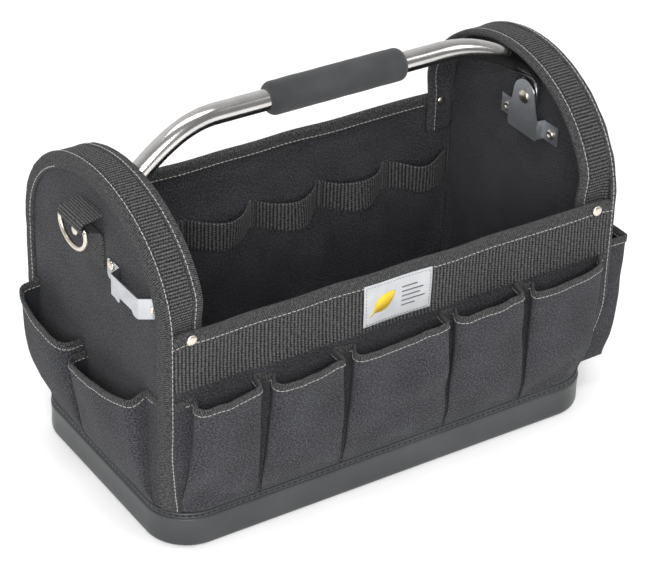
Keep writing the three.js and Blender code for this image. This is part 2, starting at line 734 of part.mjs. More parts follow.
add('tape_clip', tapeClipGeometry(), 'zinc');
const clipInner = halfLength - panel.thickness - gap;
const clipOuter = halfLength + 2 * gap + clip.sheet;
const clipRivet = add('tape_clip_rivet', rivetGeometry(4.5, 2, 2, clipOuter - clipInner), 'nickel');
clipRivet.rotation.y = Math.PI / 2;
clipRivet.position.set(-(clipInner + clipOuter) / 2, clip.rivetY, clip.rivetZ);

export default bag;
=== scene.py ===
"""Looks of the garden tool bag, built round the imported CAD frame.

Lengths in this script are millimetres in the frame of the part: X runs along the bag, the
front faces -Y, Z is up. MM turns them into Blender's metres where a mesh is made.
"""

import math

import bpy
import numpy as np
from mathutils import Matrix, Vector

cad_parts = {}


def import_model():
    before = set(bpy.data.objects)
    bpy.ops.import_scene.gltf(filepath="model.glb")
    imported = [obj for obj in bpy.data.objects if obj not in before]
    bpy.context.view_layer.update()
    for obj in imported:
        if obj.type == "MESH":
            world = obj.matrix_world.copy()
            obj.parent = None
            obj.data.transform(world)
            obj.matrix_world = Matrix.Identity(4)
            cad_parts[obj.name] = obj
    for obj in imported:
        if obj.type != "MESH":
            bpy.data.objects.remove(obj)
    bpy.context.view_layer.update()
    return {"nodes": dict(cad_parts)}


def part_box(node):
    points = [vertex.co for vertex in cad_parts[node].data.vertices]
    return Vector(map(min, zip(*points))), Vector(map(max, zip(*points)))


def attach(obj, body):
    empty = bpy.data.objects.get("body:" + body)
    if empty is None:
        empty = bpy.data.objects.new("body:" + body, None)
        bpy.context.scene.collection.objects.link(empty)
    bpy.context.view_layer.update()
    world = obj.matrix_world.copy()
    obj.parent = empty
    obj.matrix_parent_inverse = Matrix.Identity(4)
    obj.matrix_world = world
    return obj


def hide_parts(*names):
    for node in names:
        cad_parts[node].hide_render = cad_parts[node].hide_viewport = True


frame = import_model()

MM = 0.001
ENDS = (("left", -1), ("right", 1))
FACES = (("front", -1), ("back", 1))


def span(node):
    """The lowest and highest corner of a CAD node, in millimetres."""
    low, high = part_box(node)
    return np.array(low) / MM, np.array(high) / MM


# ---------------------------------------------------------------- sizes from the frame

TRAY_HIGH = span("base_tray")[1]
HALF_LENGTH = TRAY_HIGH[0]
HALF_WIDTH = TRAY_HIGH[1]
LIP_TOP = TRAY_HIGH[2]
BOARD_LOW, BOARD_HIGH = span("base_board")
PANEL_LOW, PANEL_HIGH = span("front_panel")
RIM = PANEL_HIGH[2]
ARCH_TOP = 333.0
SPRING_LINE = RIM
ARCH_RISE = ARCH_TOP - SPRING_LINE
TRAY_RADIUS = 41.0
CORNER_RADIUS = 3.0
CORNER_BLEND_TOP = 130.0
PANEL_THICKNESS = 2.5
WALL_CLOTH = PANEL_THICKNESS - 0.6
GAP = 0.3
BAND_LOW, BAND_HIGH = span("front_webbing_band")
LABEL_LOW, LABEL_HIGH = span("front_label")
LOOP_LOW, LOOP_HIGH = span("tool_loop_1")
GUSSET_LOW, GUSSET_HIGH = span("right_gusset")
RIVET_LOW, RIVET_HIGH = span("front_right_rim_rivet")
STRAP_LOW, STRAP_HIGH = span("right_ring_strap")
CLIP_LOW, CLIP_HIGH = span("tape_clip")
GRIP_LOW, GRIP_HIGH = span("handle_grip")
PIVOT_HEIGHT = float(np.mean([c[2] for c in span("right_pivot_rivet")]))


# ---------------------------------------------------------------- small maths

def smooth(value, low, high):
    t = np.clip((np.asarray(value, float) - low) / (high - low), 0, 1)
    return t * t * (3 - 2 * t)


def mix(a, b, t):
    return a + (b - a) * t


def unit(vectors):
    length = np.linalg.norm(vectors, axis=-1, keepdims=True)
    return vectors / np.maximum(length, 1e-9)


def arc_lengths(points):
    steps = np.linalg.norm(np.diff(points, axis=0), axis=1)
    return np.concatenate([[0], np.cumsum(steps)])


def resample(points, at):
    """Points of a line at the given distances from its start."""
    along = arc_lengths(points)
    return np.stack([np.interp(at, along, points[:, k]) for k in range(points.shape[1])], axis=1)


def together(*coordinates):
    """Coordinates that broadcast together, as points."""
    return np.stack(np.broadcast_arrays(*coordinates), axis=-1)


def round_angles(count):
    return np.linspace(0, 2 * np.pi, count, endpoint=False)


def waves(seed, count, low, high):
    """A smooth, repeatable wave with a height of about one: a sum of sines of random phase."""
    rng = np.random.default_rng(seed)
    lengths = rng.uniform(low, high, count)
    phases = rng.uniform(0, 2 * np.pi, count)
    weights = rng.uniform(0.5, 1, count)
    weights = weights / weights.sum()

    def height(distance):
        distance = np.asarray(distance, float)
        parts = (w * np.sin(2 * np.pi * distance / n + p) for n, p, w in zip(lengths, phases, weights))
        return sum(parts) * 1.6

    return height


def ripples(seed, count, low, high):
    """The same in two directions, for a sheet."""
    rng = np.random.default_rng(seed)
    lengths = rng.uniform(low, high, count)
    angles = rng.uniform(0, np.pi, count)
    phases = rng.uniform(0, 2 * np.pi, count)

    def height(a, b):
        total = 0
        for n, angle, p in zip(lengths, angles, phases):
            total = total + np.sin(2 * np.pi * (a * np.cos(angle) + b * np.sin(angle)) / n + p)
        return total / np.sqrt(count)

    return height


# ---------------------------------------------------------------- meshes

def make_object(name, points, faces, uv=None, body="bag", slot=None, material=None):
    """A piece from points in millimetres. faces is a list of index arrays, each (count, corners)."""
    mesh = bpy.data.meshes.new(name)
    corners = np.concatenate([f.ravel() for f in faces]).astype(np.int32)
    sizes = np.concatenate([np.full(len(f), f.shape[1]) for f in faces])
    starts = np.concatenate([[0], np.cumsum(sizes)[:-1]]).astype(np.int32)
    mesh.vertices.add(len(points))
    mesh.vertices.foreach_set("co", (np.asarray(points, float) * MM).astype(np.float32).ravel())
    mesh.loops.add(len(corners))
    mesh.loops.foreach_set("vertex_index", corners)
    mesh.polygons.add(len(sizes))
    mesh.polygons.foreach_set("loop_start", starts)
    if uv is not None:
        layer = mesh.uv_layers.new(name="weave")
        layer.data.foreach_set("uv", np.asarray(uv, np.float32)[corners].ravel())
    mesh.update(calc_edges=True)
    mesh.validate()
    mesh.shade_smooth()
    piece = bpy.data.objects.new(name, mesh)
    bpy.context.scene.collection.objects.link(piece)
    mesh.materials.append(material)
    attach(piece, body)
    return piece


def outward(points, faces):
    """The faces, turned round if they face into the body."""
    volume = 0.0
    for group in faces:
        first = points[group[:, 0]]
        for i in range(1, group.shape[1] - 1):
            volume += np.sum(first * np.cross(points[group[:, i]], points[group[:, i + 1]]))
    return faces if volume > 0 else [group[:, ::-1] for group in faces]


def grid_faces(rows, columns, wrap=False):
    """Quads of a grid of points, whose columns close into a ring if wrap is set."""
    i = np.arange(rows - 1)[:, None]
    j = np.arange(columns if wrap else columns - 1)[None]
    k = (j + 1) % columns
    corners = [i * columns + j, i * columns + k, (i + 1) * columns + k, (i + 1) * columns + j]
    return np.stack([np.broadcast_to(c, (rows - 1, j.shape[1])) for c in corners], axis=-1).reshape(-1, 4)


# The U of a sheet's inner side starts here, far past any place on its outer side. There the cloth's
# material shows a smooth coating, painted darker as shade inside the pockets.
SHADED_COATING_U = 10000.0


def slab(name, outer, inner, uv, coated_and_shaded=False, **look):
    """A closed sheet between two point grids (rows, columns, 3). The U of a coated sheet's inner side is
    past SHADED_COATING_U, where its material shows the coated back of the cloth, painted darker as the
    shade inside the pockets."""
    rows, columns = outer.shape[:2]
    count = rows * columns
    front = grid_faces(rows, columns)
    index = np.arange(count).reshape(rows, columns)
    edge = np.concatenate([index[0], index[1:, -1], index[-1, -2::-1], index[-2:0:-1, 0]])
    following = np.roll(edge, -1)
    sides = np.stack([following, edge, edge + count, following + count], axis=1)
    points = np.concatenate([outer.reshape(-1, 3), inner.reshape(-1, 3)])
    faces = outward(points, [front, front[:, ::-1] + count, sides])
    flat = uv.reshape(-1, 2)
    return make_object(name, points, faces, np.concatenate([flat, flat + (SHADED_COATING_U * coated_and_shaded, 0)]), **look)


def loft(name, rings, looped=False, uv=None, **look):
    """A closed body through rings (count, points, 3), with flat ends unless looped."""
    rings = np.asarray(rings, float)
    count, size = rings.shape[:2]
    if uv is None:
        along = arc_lengths(rings.mean(1))
        around = arc_lengths(rings[count // 2])
        uv = np.stack(np.meshgrid(along, around, indexing="ij"), axis=-1)
    faces = [grid_faces(count, size, wrap=True)]
    end = (count - 1) * size
    ring = np.arange(size)
    if looped:
        following = (ring + 1) % size
        faces.append(np.stack([end + ring, end + following, following, ring], axis=1))
    else:
        faces += [ring[None, ::-1], end + ring[None]]
    points = rings.reshape(-1, 3)
    return make_object(name, points, outward(points, faces), uv.reshape(-1, 2), **look)


def lathe(name, profile, centre, axis, segments=40, **look):
    """A turned piece. The profile has (radius, height) pairs from end to end, along the axis."""
    axis = unit(np.array(axis, float))
    side = unit(np.cross(axis, [0.31, 0.73, 0.61]))
    other = np.cross(axis, side)
    angles = round_angles(segments)
    circle = np.cos(angles)[:, None] * side + np.sin(angles)[:, None] * other
    rings = [np.asarray(centre) + r * circle + h * axis for r, h in profile]
    return loft(name, rings, **look)


# ---------------------------------------------------------------- stitches

def stitch_row(line, normals, pitch=4.6, length=3.9, radius=0.44, seed=0, slant=0.08):
    """Stitches along a line of points, each as a row of numbers: centre, along, normal, length, radius."""
    total = arc_lengths(line)[-1]
    count = max(int(total / pitch), 1)
    rng = np.random.default_rng(seed)
    at = (np.arange(count) + 0.5) * total / count
    centre = resample(line, at)
    along = unit(resample(line, np.minimum(at + 0.8, total)) - resample(line, np.maximum(at - 0.8, 0)))
    distances = arc_lengths(line)
    normal = unit(np.stack([np.interp(at, distances, normals[:, k]) for k in range(3)], axis=1))
    along = unit(along + slant * rng.normal(size=(count, 1)) * np.cross(along, normal))
    normal = unit(normal - along * np.sum(along * normal, axis=1, keepdims=True))
    lengths = length * rng.uniform(0.92, 1.06, (count, 1))
    radii = radius * rng.uniform(0.92, 1.08, (count, 1))
    return np.hstack([centre + normal * radius * 0.25, along, normal, lengths, radii])


def build_stitches(name, rows, **look):
    """Short round-ended threads, pressed a little into the cloth, as one piece."""
    rows = np.concatenate(rows)
    centre, along, normal = rows[:, 0:3], rows[:, 3:6], rows[:, 6:9]
    length, radius = rows[:, 9, None, None], rows[:, 10, None, None]
    side = np.cross(along, normal)
    sides = 6
    angles = round_angles(sides)
    place = np.array([-0.5, -0.38, 0.0, 0.38, 0.5])[None, :, None] * length
    thick = np.array([0.35, 0.85, 1.12, 0.85, 0.35])[None, :, None] * radius
    sink = np.array([-0.7, -0.2, 0.1, -0.2, -0.7])[None, :, None] * radius
    across = thick * np.cos(angles)[None, None]
    up = thick * np.sin(angles)[None, None] * 0.8 + sink
    rings = len(place[0])
    points = (
        centre[:, None, None] + place[..., None] * along[:, None, None]
        + across[..., None] * side[:, None, None] + up[..., None] * normal[:, None, None]
    )
    each = rings * sides
    start = (np.arange(len(rows)) * each)[:, None, None]
    body = (grid_faces(rings, sides, wrap=True)[None] + start).reshape(-1, 4)
    ring = np.arange(sides)[None, None]
    first = (ring[..., ::-1] + start).reshape(-1, sides)
    last = (ring + each - sides + start).reshape(-1, sides)
    uv = np.zeros((*points.shape[:-1], 2))
    uv[..., 0] = place
    points = points.reshape(-1, 3)
    return make_object(name, points, outward(points, [body, first, last]), uv.reshape(-1, 2), **look)


def boxed_stitches(low, high, place, normal, steps, seed, **thread):
    """Rows of stitches round a rectangle. place turns its flat corners into points."""
    corners = np.array([low, (high[0], low[1]), high, (low[0], high[1])], float)
    share = np.linspace(0, 1, steps)[:, None]
    rows = []
    for i, (a, b) in enumerate(zip(corners, np.roll(corners, -1, axis=0))):
        line = place(mix(a, b, share))
        rows.append(stitch_row(line, np.tile(normal, (steps, 1)), seed=seed + i, **thread))
    return rows


# ---------------------------------------------------------------- materials

class Shader:
    """A material's node tree. Constants go straight onto sockets, nodes are linked."""

    def __init__(self, name):
        self.material = bpy.data.materials.new(name)
        self.material.use_nodes = True
        self.tree = self.material.node_tree
        self.surface = self.tree.nodes["Principled BSDF"]

    def set(self, node, values):
        for key, value in values.items():
            socket = node.inputs[key]
            if isinstance(value, bpy.types.NodeSocket):
                self.tree.links.new(value, socket)
            else:
                socket.default_value = value

    def node(self, kind, values=None, **settings):
        made = self.tree.nodes.new("ShaderNode" + kind)
        for key, value in settings.items():
            setattr(made, key, value)
        self.set(made, values or {})
        return made

    def finish(self, **values):
        self.set(self.surface, {key.replace("_", " "): value for key, value in values.items()})
        return self.material

    def math(self, operation, a, b=0.0):
        return self.node("Math", {0: a, 1: b}, operation=operation).outputs[0]

    def fabric_place(self):
        """Millimetres along and across the cloth."""
        return self.node("UVMap", uv_map="weave").outputs["UV"]

    def object_place(self):
        """Millimetres in the part's frame."""
        place = self.node("TexCoord").outputs["Object"]
        return self.node("VectorMath", {0: place, 1: (1000, 1000, 1000)}, operation="MULTIPLY").outputs[0]

    def threads(self, place, direction, pitch, scale=(1, 1, 1)):
        """Parallel threads as a wave between -1 and 1."""
        scaled = tuple(2 * math.pi * d * k / pitch for d, k in zip(direction, scale))
        phase = self.node("VectorMath", {0: place, 1: scaled}, operation="DOT_PRODUCT").outputs["Value"]
        return self.math("SINE", phase)

    def noise(self, place, size, detail=3.0, roughness=0.5, stretch=(1, 1, 1)):
        scaled = self.node("VectorMath", {0: place, 1: stretch}, operation="MULTIPLY").outputs[0]
        values = {"Vector": scaled, "Scale": 1 / size, "Detail": detail, "Roughness": roughness}
        return self.node("TexNoise", values).outputs["Fac"]

    def between(self, value, low, high, to_low=0.0, to_high=1.0):
        values = {0: value, 1: low, 2: high, 3: to_low, 4: to_high}
        return self.node("MapRange", values).outputs[0]

    def blend(self, factor, first, second):
        """A colour between two. The colour sockets of a Mix node have only their numbers."""
        return self.node("Mix", {0: factor, 6: first, 7: second}, data_type="RGBA").outputs[2]

    def bump(self, height, depth):
        """Depth in millimetres for a height of one."""
        values = {"Height": height, "Distance": depth * MM, "Strength": 1.0}
        return self.node("Bump", values).outputs["Normal"]


# The length of a bead of thread on the webbing's ribs.
BEAD = 2.4


def grey(level, warmth=0.0):
    """A grey that leans to red by its warmth, or to blue if that is negative."""
    return (level * (1 + warmth), level, level * (1 - warmth), 1)


def cloth_material(name, dark, light, coat_and_shade, pitch, depth):
    """Coarse cloth: diagonal woven ridges, broken up by single threads that catch the light. The ridges are
    painted lighter than the grooves between them, as painted shade. Its back has a smooth coating, and
    the darker colour there is partly painted shade inside the pockets."""
    s = Shader(name)
    place = s.fabric_place()
    ridge = s.threads(place, (1, 1, 0), pitch)
    cross = s.threads(place, (1, -0.8, 0), pitch * 0.8)
    relief = s.math("ADD", s.math("MULTIPLY", ridge, 0.7), s.math("MULTIPLY", cross, 0.3))
    fleck = s.noise(place, 1.7, detail=2.0, roughness=0.75)
    cloud = s.noise(place, 34.0, detail=3.0)
    # painted shade: the tone follows the ridge relief, lighter on the ridges and darker in the grooves,
    # with random lighter threads on top
    yarn_and_ridge_shade = s.math("ADD", s.math("MULTIPLY", relief, 0.46), s.between(fleck, 0.4, 0.63, 0.0, 1.0))
    tone = s.math("ADD", s.math("MULTIPLY", yarn_and_ridge_shade, 0.85), s.between(cloud, 0.3, 0.7, -0.08, 0.12))
    height = s.math("ADD", relief, s.math("MULTIPLY", fleck, 1.6))
    along = s.node("SeparateXYZ", {0: place}).outputs["X"]
    # painted shade: the coated back inside the pockets gets a darker colour, along with its real smoother
    # finish
    back = s.between(along, SHADED_COATING_U * 0.5 - 1, SHADED_COATING_U * 0.5 + 1)
    woven = s.blend(s.between(tone, 0.0, 1.0), dark, light)
    return s.finish(
        Base_Color=s.blend(back, woven, coat_and_shade), Roughness=s.between(back, 0, 1, 1.0, 0.5),
        Normal=s.bump(height, depth), Sheen_Weight=0.06, Sheen_Roughness=0.5, Specular_IOR_Level=0.15,
    )


def tape_material(name, dark, light):
    """Binding tape. U runs along the tape: short coarse threads lie across it."""
    s = Shader(name)
    place = s.fabric_place()
    cord = s.threads(place, (1, 0.45, 0), 1.9)
    strand = s.noise(place, 1.5, detail=2.0, roughness=0.7, stretch=(1, 0.5, 1))
    fleck = s.noise(place, 1.7, detail=2.0, roughness=0.7)
    worn = s.math("ADD", s.between(strand, 0.4, 0.62, 0.0, 0.6), s.between(fleck, 0.4, 0.64, 0.0, 0.4))
    # painted shade: the tone is lighter on the cords and darker between them, over random worn flecks
    tone = s.math("ADD", worn, s.math("MULTIPLY", cord, 0.32))
    height = s.math("ADD", cord, s.math("MULTIPLY", strand, 2.0))
    return s.finish(
        Base_Color=s.blend(s.between(tone, 0.0, 1.0), dark, light), Roughness=1.0,
        Normal=s.bump(height, 0.22), Sheen_Weight=0.05, Sheen_Roughness=0.5, Specular_IOR_Level=0.15,
    )


def webbing_material(name, dark, light):
    """Woven strap. U counts its ribs, V runs along them in millimetres, and beads of thread sit on each
    rib, half a bead apart from the next rib's. The crests of ribs and beads are painted lighter and
    the grooves between them darker: painted highlight and painted shade."""
    s = Shader(name)
    place = s.fabric_place()
    u = s.node("SeparateXYZ", {0: place}).outputs["X"]
    crest = s.math("ABSOLUTE", s.math("COSINE", s.math("MULTIPLY", u, math.pi)))
    uneven = s.node("CombineXYZ", {"Y": s.noise(place, 5.0, detail=2.0)}).outputs[0]
    shifted = s.node("VectorMath", {0: place, 1: uneven}, operation="ADD").outputs[0]
    beads = s.threads(shifted, (1.0, 1.0, 0), BEAD, scale=(BEAD / 2, 1, 1))
    fleck = s.noise(place, 1.1, detail=2.0, roughness=0.7)
    # painted shade in the grooves between ribs and between beads, painted highlight on their crests
    painted_rib_shade = s.math("MULTIPLY", s.between(crest, 0.42, 0.95), s.between(beads, -0.8, 0.8, 0.55, 1.05))
    tone = s.math("ADD", s.math("MULTIPLY", painted_rib_shade, 0.85), s.between(fleck, 0.42, 0.6, -0.25, 0.35))
    height = s.math("ADD", beads, s.math("MULTIPLY", fleck, 2.0))
    return s.finish(
        Base_Color=s.blend(s.between(tone, 0.0, 1.0), dark, light), Roughness=0.85,
        Normal=s.bump(height, 0.14), Sheen_Weight=0.08, Sheen_Roughness=0.4, Specular_IOR_Level=0.3,
    )


def thread_material(name, dark, light):
    """Twisted sewing thread."""
    s = Shader(name)
    place = s.fabric_place()
    ply = s.threads(place, (1, 0.6, 0), 0.55)
    # painted shade: the colour follows the twist, lighter on the plies and darker between them
    colour = s.blend(s.between(ply, -1, 1), dark, light)
    return s.finish(Base_Color=colour, Roughness=0.7, Normal=s.bump(ply, 0.05), Sheen_Weight=0.2)


def rubber_material():
    """Satin moulded rubber with a fine leather grain and a few rubbed places."""
    s = Shader("tray_rubber")
    place = s.object_place()
    grain = s.node("TexVoronoi", {"Vector": place, "Scale": 1.1}, feature="SMOOTH_F1").outputs["Distance"]
    rub = s.noise(place, 46.0, detail=4.0)
    smudge = s.noise(place, 9.0, detail=3.0)
    colour = s.blend(s.between(rub, 0.35, 0.7), grey(0.032, -0.05), grey(0.048, -0.05))
    rough = s.between(s.math("ADD", rub, s.math("MULTIPLY", smudge, 0.4)), 0.4, 1.0, 0.32, 0.48)
    return s.finish(Base_Color=colour, Roughness=rough, Normal=s.bump(grain, 0.05), Specular_IOR_Level=0.45)


def foam_material():
    """Closed-cell foam: small cells and faint clouds."""
    s = Shader("foam")
    place = s.object_place()
    cells = s.node("TexVoronoi", {"Vector": place, "Scale": 1.4}, feature="F1").outputs["Distance"]
    cloud = s.noise(place, 22.0, detail=4.0)
    colour = s.blend(s.between(cloud, 0.3, 0.7), grey(0.026, -0.04), grey(0.04, -0.04))
    return s.finish(
        Base_Color=colour, Roughness=0.93, Normal=s.bump(cells, 0.12),
        Sheen_Weight=0.12, Sheen_Roughness=0.6, Specular_IOR_Level=0.25,
    )


def metal_material(name, colour, rough, grain=(1, 1, 1), grain_size=1.5, depth=0.004, uneven=0.3):
    """Plated or polished metal. Its grain runs long where grain is small."""
    s = Shader(name)
    place = s.object_place()
    lines = s.noise(place, grain_size, detail=4.0, roughness=0.6, stretch=grain)
    stain = s.noise(place, 17.0, detail=3.0)
    dull = tuple(c * 0.86 for c in colour[:3]) + (1,)
    mixed = s.math("ADD", s.math("MULTIPLY", lines, 0.6), s.math("MULTIPLY", stain, 0.4))
    low, high = rough * (1 - uneven), rough * (1 + uneven)
    return s.finish(
        Base_Color=s.blend(s.between(stain, 0.35, 0.7), colour, dull), Metallic=1.0,
        Roughness=s.between(mixed, 0.3, 0.7, low, high), Normal=s.bump(lines, depth),
    )


def label_material():
    """Woven satin tape: fine crossed threads on an off-white ground."""
    s = Shader("label_tape")
    place = s.fabric_place()
    weave = s.math("MULTIPLY", s.threads(place, (1, 0, 0), 0.5), s.threads(place, (0, 1, 0), 0.5))
    soil = s.noise(place, 14.0, detail=3.0)
    colour = s.blend(s.between(soil, 0.3, 0.75), (0.47, 0.48, 0.49, 1), (0.39, 0.4, 0.42, 1))
    return s.finish(Base_Color=colour, Roughness=0.6, Normal=s.bump(weave, 0.04), Sheen_Weight=0.1)


def print_material(name, colour):
    """Woven-in colour on the label."""
    s = Shader(name)
    place = s.fabric_place()
    weave = s.threads(place, (1, 1, 0), 0.5)
    # painted shade: the print is darker in the hollows of the weave and full colour on its threads
    dark = tuple(c * 0.82 for c in colour[:3]) + (1,)
    woven = s.blend(s.between(weave, -1, 1), dark, colour)
    return s.finish(Base_Color=woven, Roughness=0.6, Normal=s.bump(weave, 0.04))


def floor_material():
    """A pale floor that glows a little, so that its shadows stay soft."""
    s = Shader("studio_floor")
    soft = s.noise(s.object_place(), 500.0, detail=2.0)
    colour = s.blend(soft, (0.9, 0.9, 0.9, 1), (0.94, 0.94, 0.94, 1))
    return s.finish(
        Base_Color=colour, Roughness=0.9, Specular_IOR_Level=0.1,
        Emission_Color=grey(1.0), Emission_Strength=0.1,
    )


# The third colour is the coating of the cloth's back, made darker as painted shade inside the pockets.
FABRIC = cloth_material(
    "fabric", (0.006, 0.0061, 0.007, 1), (0.083, 0.084, 0.095, 1), (0.021, 0.0225, 0.027, 1), 2.0, 0.2
)
BINDING = tape_material("binding_tape", grey(0.008, -0.01), grey(0.088, -0.01))
WEBBING = webbing_material("webbing", grey(0.004), grey(0.094))
WHITE_THREAD = thread_material("white_thread", (0.2, 0.198, 0.19, 1), (0.46, 0.455, 0.44, 1))
BLACK_THREAD = thread_material("black_thread", grey(0.004), grey(0.014))
RUBBER = rubber_material()
FOAM = foam_material()
TUBE_METAL = metal_material(
    "tube_metal", (0.6, 0.585, 0.57, 1), 0.2, grain=(0.06, 1, 1), grain_size=0.8, depth=0.0, uneven=0.03
)
ZINC = metal_material("zinc_sheet", (0.49, 0.5, 0.52, 1), 0.42, grain_size=2.5, depth=0.001)
STEEL = metal_material("bracket_steel", (0.64, 0.67, 0.71, 1), 0.46, grain_size=6.0, depth=0.0, uneven=0.12)
NICKEL = metal_material("nickel", (0.68, 0.62, 0.53, 1), 0.32, depth=0.001, uneven=0.15)
LABEL = label_material()
LABEL_YELLOW = print_material("label_yellow", (0.85, 0.55, 0.03, 1))
LABEL_GREY = print_material("label_grey", grey(0.12))

# The slot name and material passed for the most common pieces. They all ride on the bag.
CLOTH_LOOK = {"slot": "fabric", "material": FABRIC}
TAPE_LOOK = {"slot": "binding", "material": BINDING}
SEAM_LOOK = {"slot": "binding", "material": WHITE_THREAD}
STRAP_LOOK = {"slot": "webbing", "material": WEBBING}
RIVET_LOOK = {"slot": "nickel", "material": NICKEL}

# Sheet metal stays crisp where its faces turn by more than this.
SHARP = math.radians(38)


# ---------------------------------------------------------------- the body's shape

def corner_radius(z):
    """The upright corners are tight at the top and open out to the tray's radius below."""
    return mix(TRAY_RADIUS, CORNER_RADIUS, smooth(z, LIP_TOP, CORNER_BLEND_TOP))


wall_ripple = ripples(11, 5, 70, 190)
end_ripple = ripples(12, 4, 80, 170)

# How far the cloth draws in just above the tray, and over what height.
WAIST = {"depth": 2.8, "height": 24.0}
# The share of its height above the rim that the left arch loses.
SETTLED = 0.12


def settle(points):
    """The top of the left arch hangs a little lower than the right one's."""
    p = np.array(points, float)
    above = np.clip(p[..., 2] - SPRING_LINE, 0, None)
    p[..., 2] -= SETTLED * above * smooth(-p[..., 0], 150, 185)
    return p


def drape(points):
    """The small waves that the sewn walls and everything on them share. Metal parts sit still.
    Just above the tray the cloth draws in to its lip."""
    p = np.array(points, float)
    drawn = WAIST["depth"] * (1 - smooth(p[..., 2], LIP_TOP, LIP_TOP + WAIST["height"]))
    p[..., 0] *= 1 - drawn / HALF_LENGTH
    p[..., 1] *= 1 - drawn / HALF_WIDTH
    x, y, z = p[..., 0], p[..., 1], p[..., 2]
    risen = smooth(z, LIP_TOP + 6, 130)
    on_side = smooth(np.abs(y), 96, 116) * (1 - smooth(np.abs(x), 196, 222))
    on_end = smooth(np.abs(x), 205, 222) * (1 - smooth(np.abs(y), 100, 120)) * (1 - smooth(z, 195, 228))
    p[..., 1] = y + np.sign(y) * risen * on_side * (0.9 * wall_ripple(x, z) + 0.8 * np.cos(np.pi * x / 460))
    p[..., 0] = x + np.sign(x) * risen * on_end * 0.8 * end_ripple(y, z)
    return settle(p)


def wall_ring(reach, out, radius, lift, xi):
    """Plan section of a wall at one height, from seam to seam, lifted off its surface."""
    flat = reach - radius
    s = xi * (flat + radius * np.pi / 4)
    angle = np.clip(np.abs(s) - flat, 0, None) / radius
    along = np.sign(s) * (np.minimum(np.abs(s), flat) + (radius + lift) * np.sin(angle))
    return along, out - radius + (radius + lift) * np.cos(angle), s


def wall_grid(rows, out, lift, columns=73):
    """Points (along, out, z) of a wall with a (z, reach) pair for each row, and its flat place."""
    xi = np.linspace(-1, 1, columns)
    points, flat = [], []
    for z, reach in rows:
        along, away, s = wall_ring(reach, out, corner_radius(z), lift, xi)
        points.append(together(along, away, z))
        flat.append(together(s, z - rows[0][0]))
    return np.array(points), np.array(flat)


def on_side(sign):
    """Turns (along, out, z) into points of a long side."""
    return lambda p: p * (1, sign, 1)


def on_end(sign):
    """Turns (along, out, z) into points of an end."""
    return lambda p: p[..., [1, 0, 2]] * (sign, 1, 1)


# ---------------------------------------------------------------- tray and board

def rounded_plan(inset, z):
    """The tray's outline at one height."""
    steps = 14
    radius = max(TRAY_RADIUS - inset, 1)
    centre = np.array([HALF_LENGTH - TRAY_RADIUS, HALF_WIDTH - TRAY_RADIUS])
    points = []
    for quarter, corner in enumerate([(1, 1), (-1, 1), (-1, -1), (1, -1)]):
        angles = (quarter + np.arange(steps + 1) / steps) * np.pi / 2
        points.extend(centre * corner + radius * together(np.cos(angles), np.sin(angles)))
    return together(*np.transpose(points), z)


# The rubber's top edge, and the groove above it in which the tray is sewn to the cloth.
TRAY_RIM = LIP_TOP - 6
GROOVE = {"inset": 1.9, "low": TRAY_RIM + 0.7, "high": TRAY_RIM + 3.5}


def build_tray():
    """The tray's wall and lip, and the thick black stitches round it."""
    profile = [
        (7.0, 0.0), (4.0, 0.0), (2.4, 0.5), (1.3, 1.5), (0.6, 3.0), (0.3, 5.0), (0.5, 12.0), (0.5, 20.0),
        (0.2, TRAY_RIM - 4), (0.0, TRAY_RIM - 1.4), (0.12, TRAY_RIM - 0.7), (0.55, TRAY_RIM - 0.15),
        (1.1, TRAY_RIM + 0.1), (GROOVE["inset"] - 0.3, TRAY_RIM + 0.3), (GROOVE["inset"], GROOVE["low"]),
        (GROOVE["inset"], GROOVE["high"]), (1.6, TRAY_RIM + 3.7), (1.0, TRAY_RIM + 3.95),
        (0.7, TRAY_RIM + 4.5), (0.7, TRAY_RIM + 5.1), (1.3, LIP_TOP - 0.3), (2.2, LIP_TOP), (4.2, LIP_TOP),
        (4.5, LIP_TOP - 0.5), (4.5, 3.4), (5.0, 3.0), (12.0, 3.0),
    ]
    rings = [rounded_plan(inset, z) for inset, z in profile]
    tray = loft("tray_shell", rings, slot="tray_rubber", material=RUBBER)
    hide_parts("base_tray")
    line = rounded_plan(GROOVE["inset"], (GROOVE["low"] + GROOVE["high"]) / 2)
    line = np.concatenate([line, line[:1]])
    inner = rounded_plan(GROOVE["inset"] + 5, 0)
    normals = unit((line - np.concatenate([inner, inner[:1]])) * (1, 1, 0))
    rows = [stitch_row(line, normals, pitch=5.8, length=4.4, radius=1.05, seed=3)]
    build_stitches("tray_stitches", rows, slot="binding", material=BLACK_THREAD)


def build_board():
    """The covered stiffener that lies in the tray."""
    low, high = BOARD_LOW[2], BOARD_HIGH[2]
    inset = HALF_LENGTH - BOARD_HIGH[0]
    profile = [
        (30, low), (inset + 0.3, low), (inset, low + 0.4), (inset, high - 1.2),
        (inset + 0.5, high - 0.3), (inset + 1.6, high), (30, high),
    ]
    rings = [rounded_plan(i, z) for i, z in profile]
    uv = np.stack([ring[:, :2] for ring in rings])
    board = loft("floor_board", rings, uv=uv, slot="board", material=FABRIC)
    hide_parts("base_board")


# ---------------------------------------------------------------- walls

def side_wall_waves(along, z, sign):
    """Soft folds inside the back wall: one along it under the rim and a few by the right corner."""
    if sign < 0:
        return np.zeros_like(z)
    fold = 0.9 * np.exp(-((z - 196 + 0.012 * along) / 5.5) ** 2)
    corner = smooth(along, 120, 205) * (1 - smooth(z, 175, 215)) * smooth(z, 60, 110)
    diagonal = np.sin((along * 0.9 + z * 0.55) / 9.5) * 1.3
    return fold - corner * diagonal


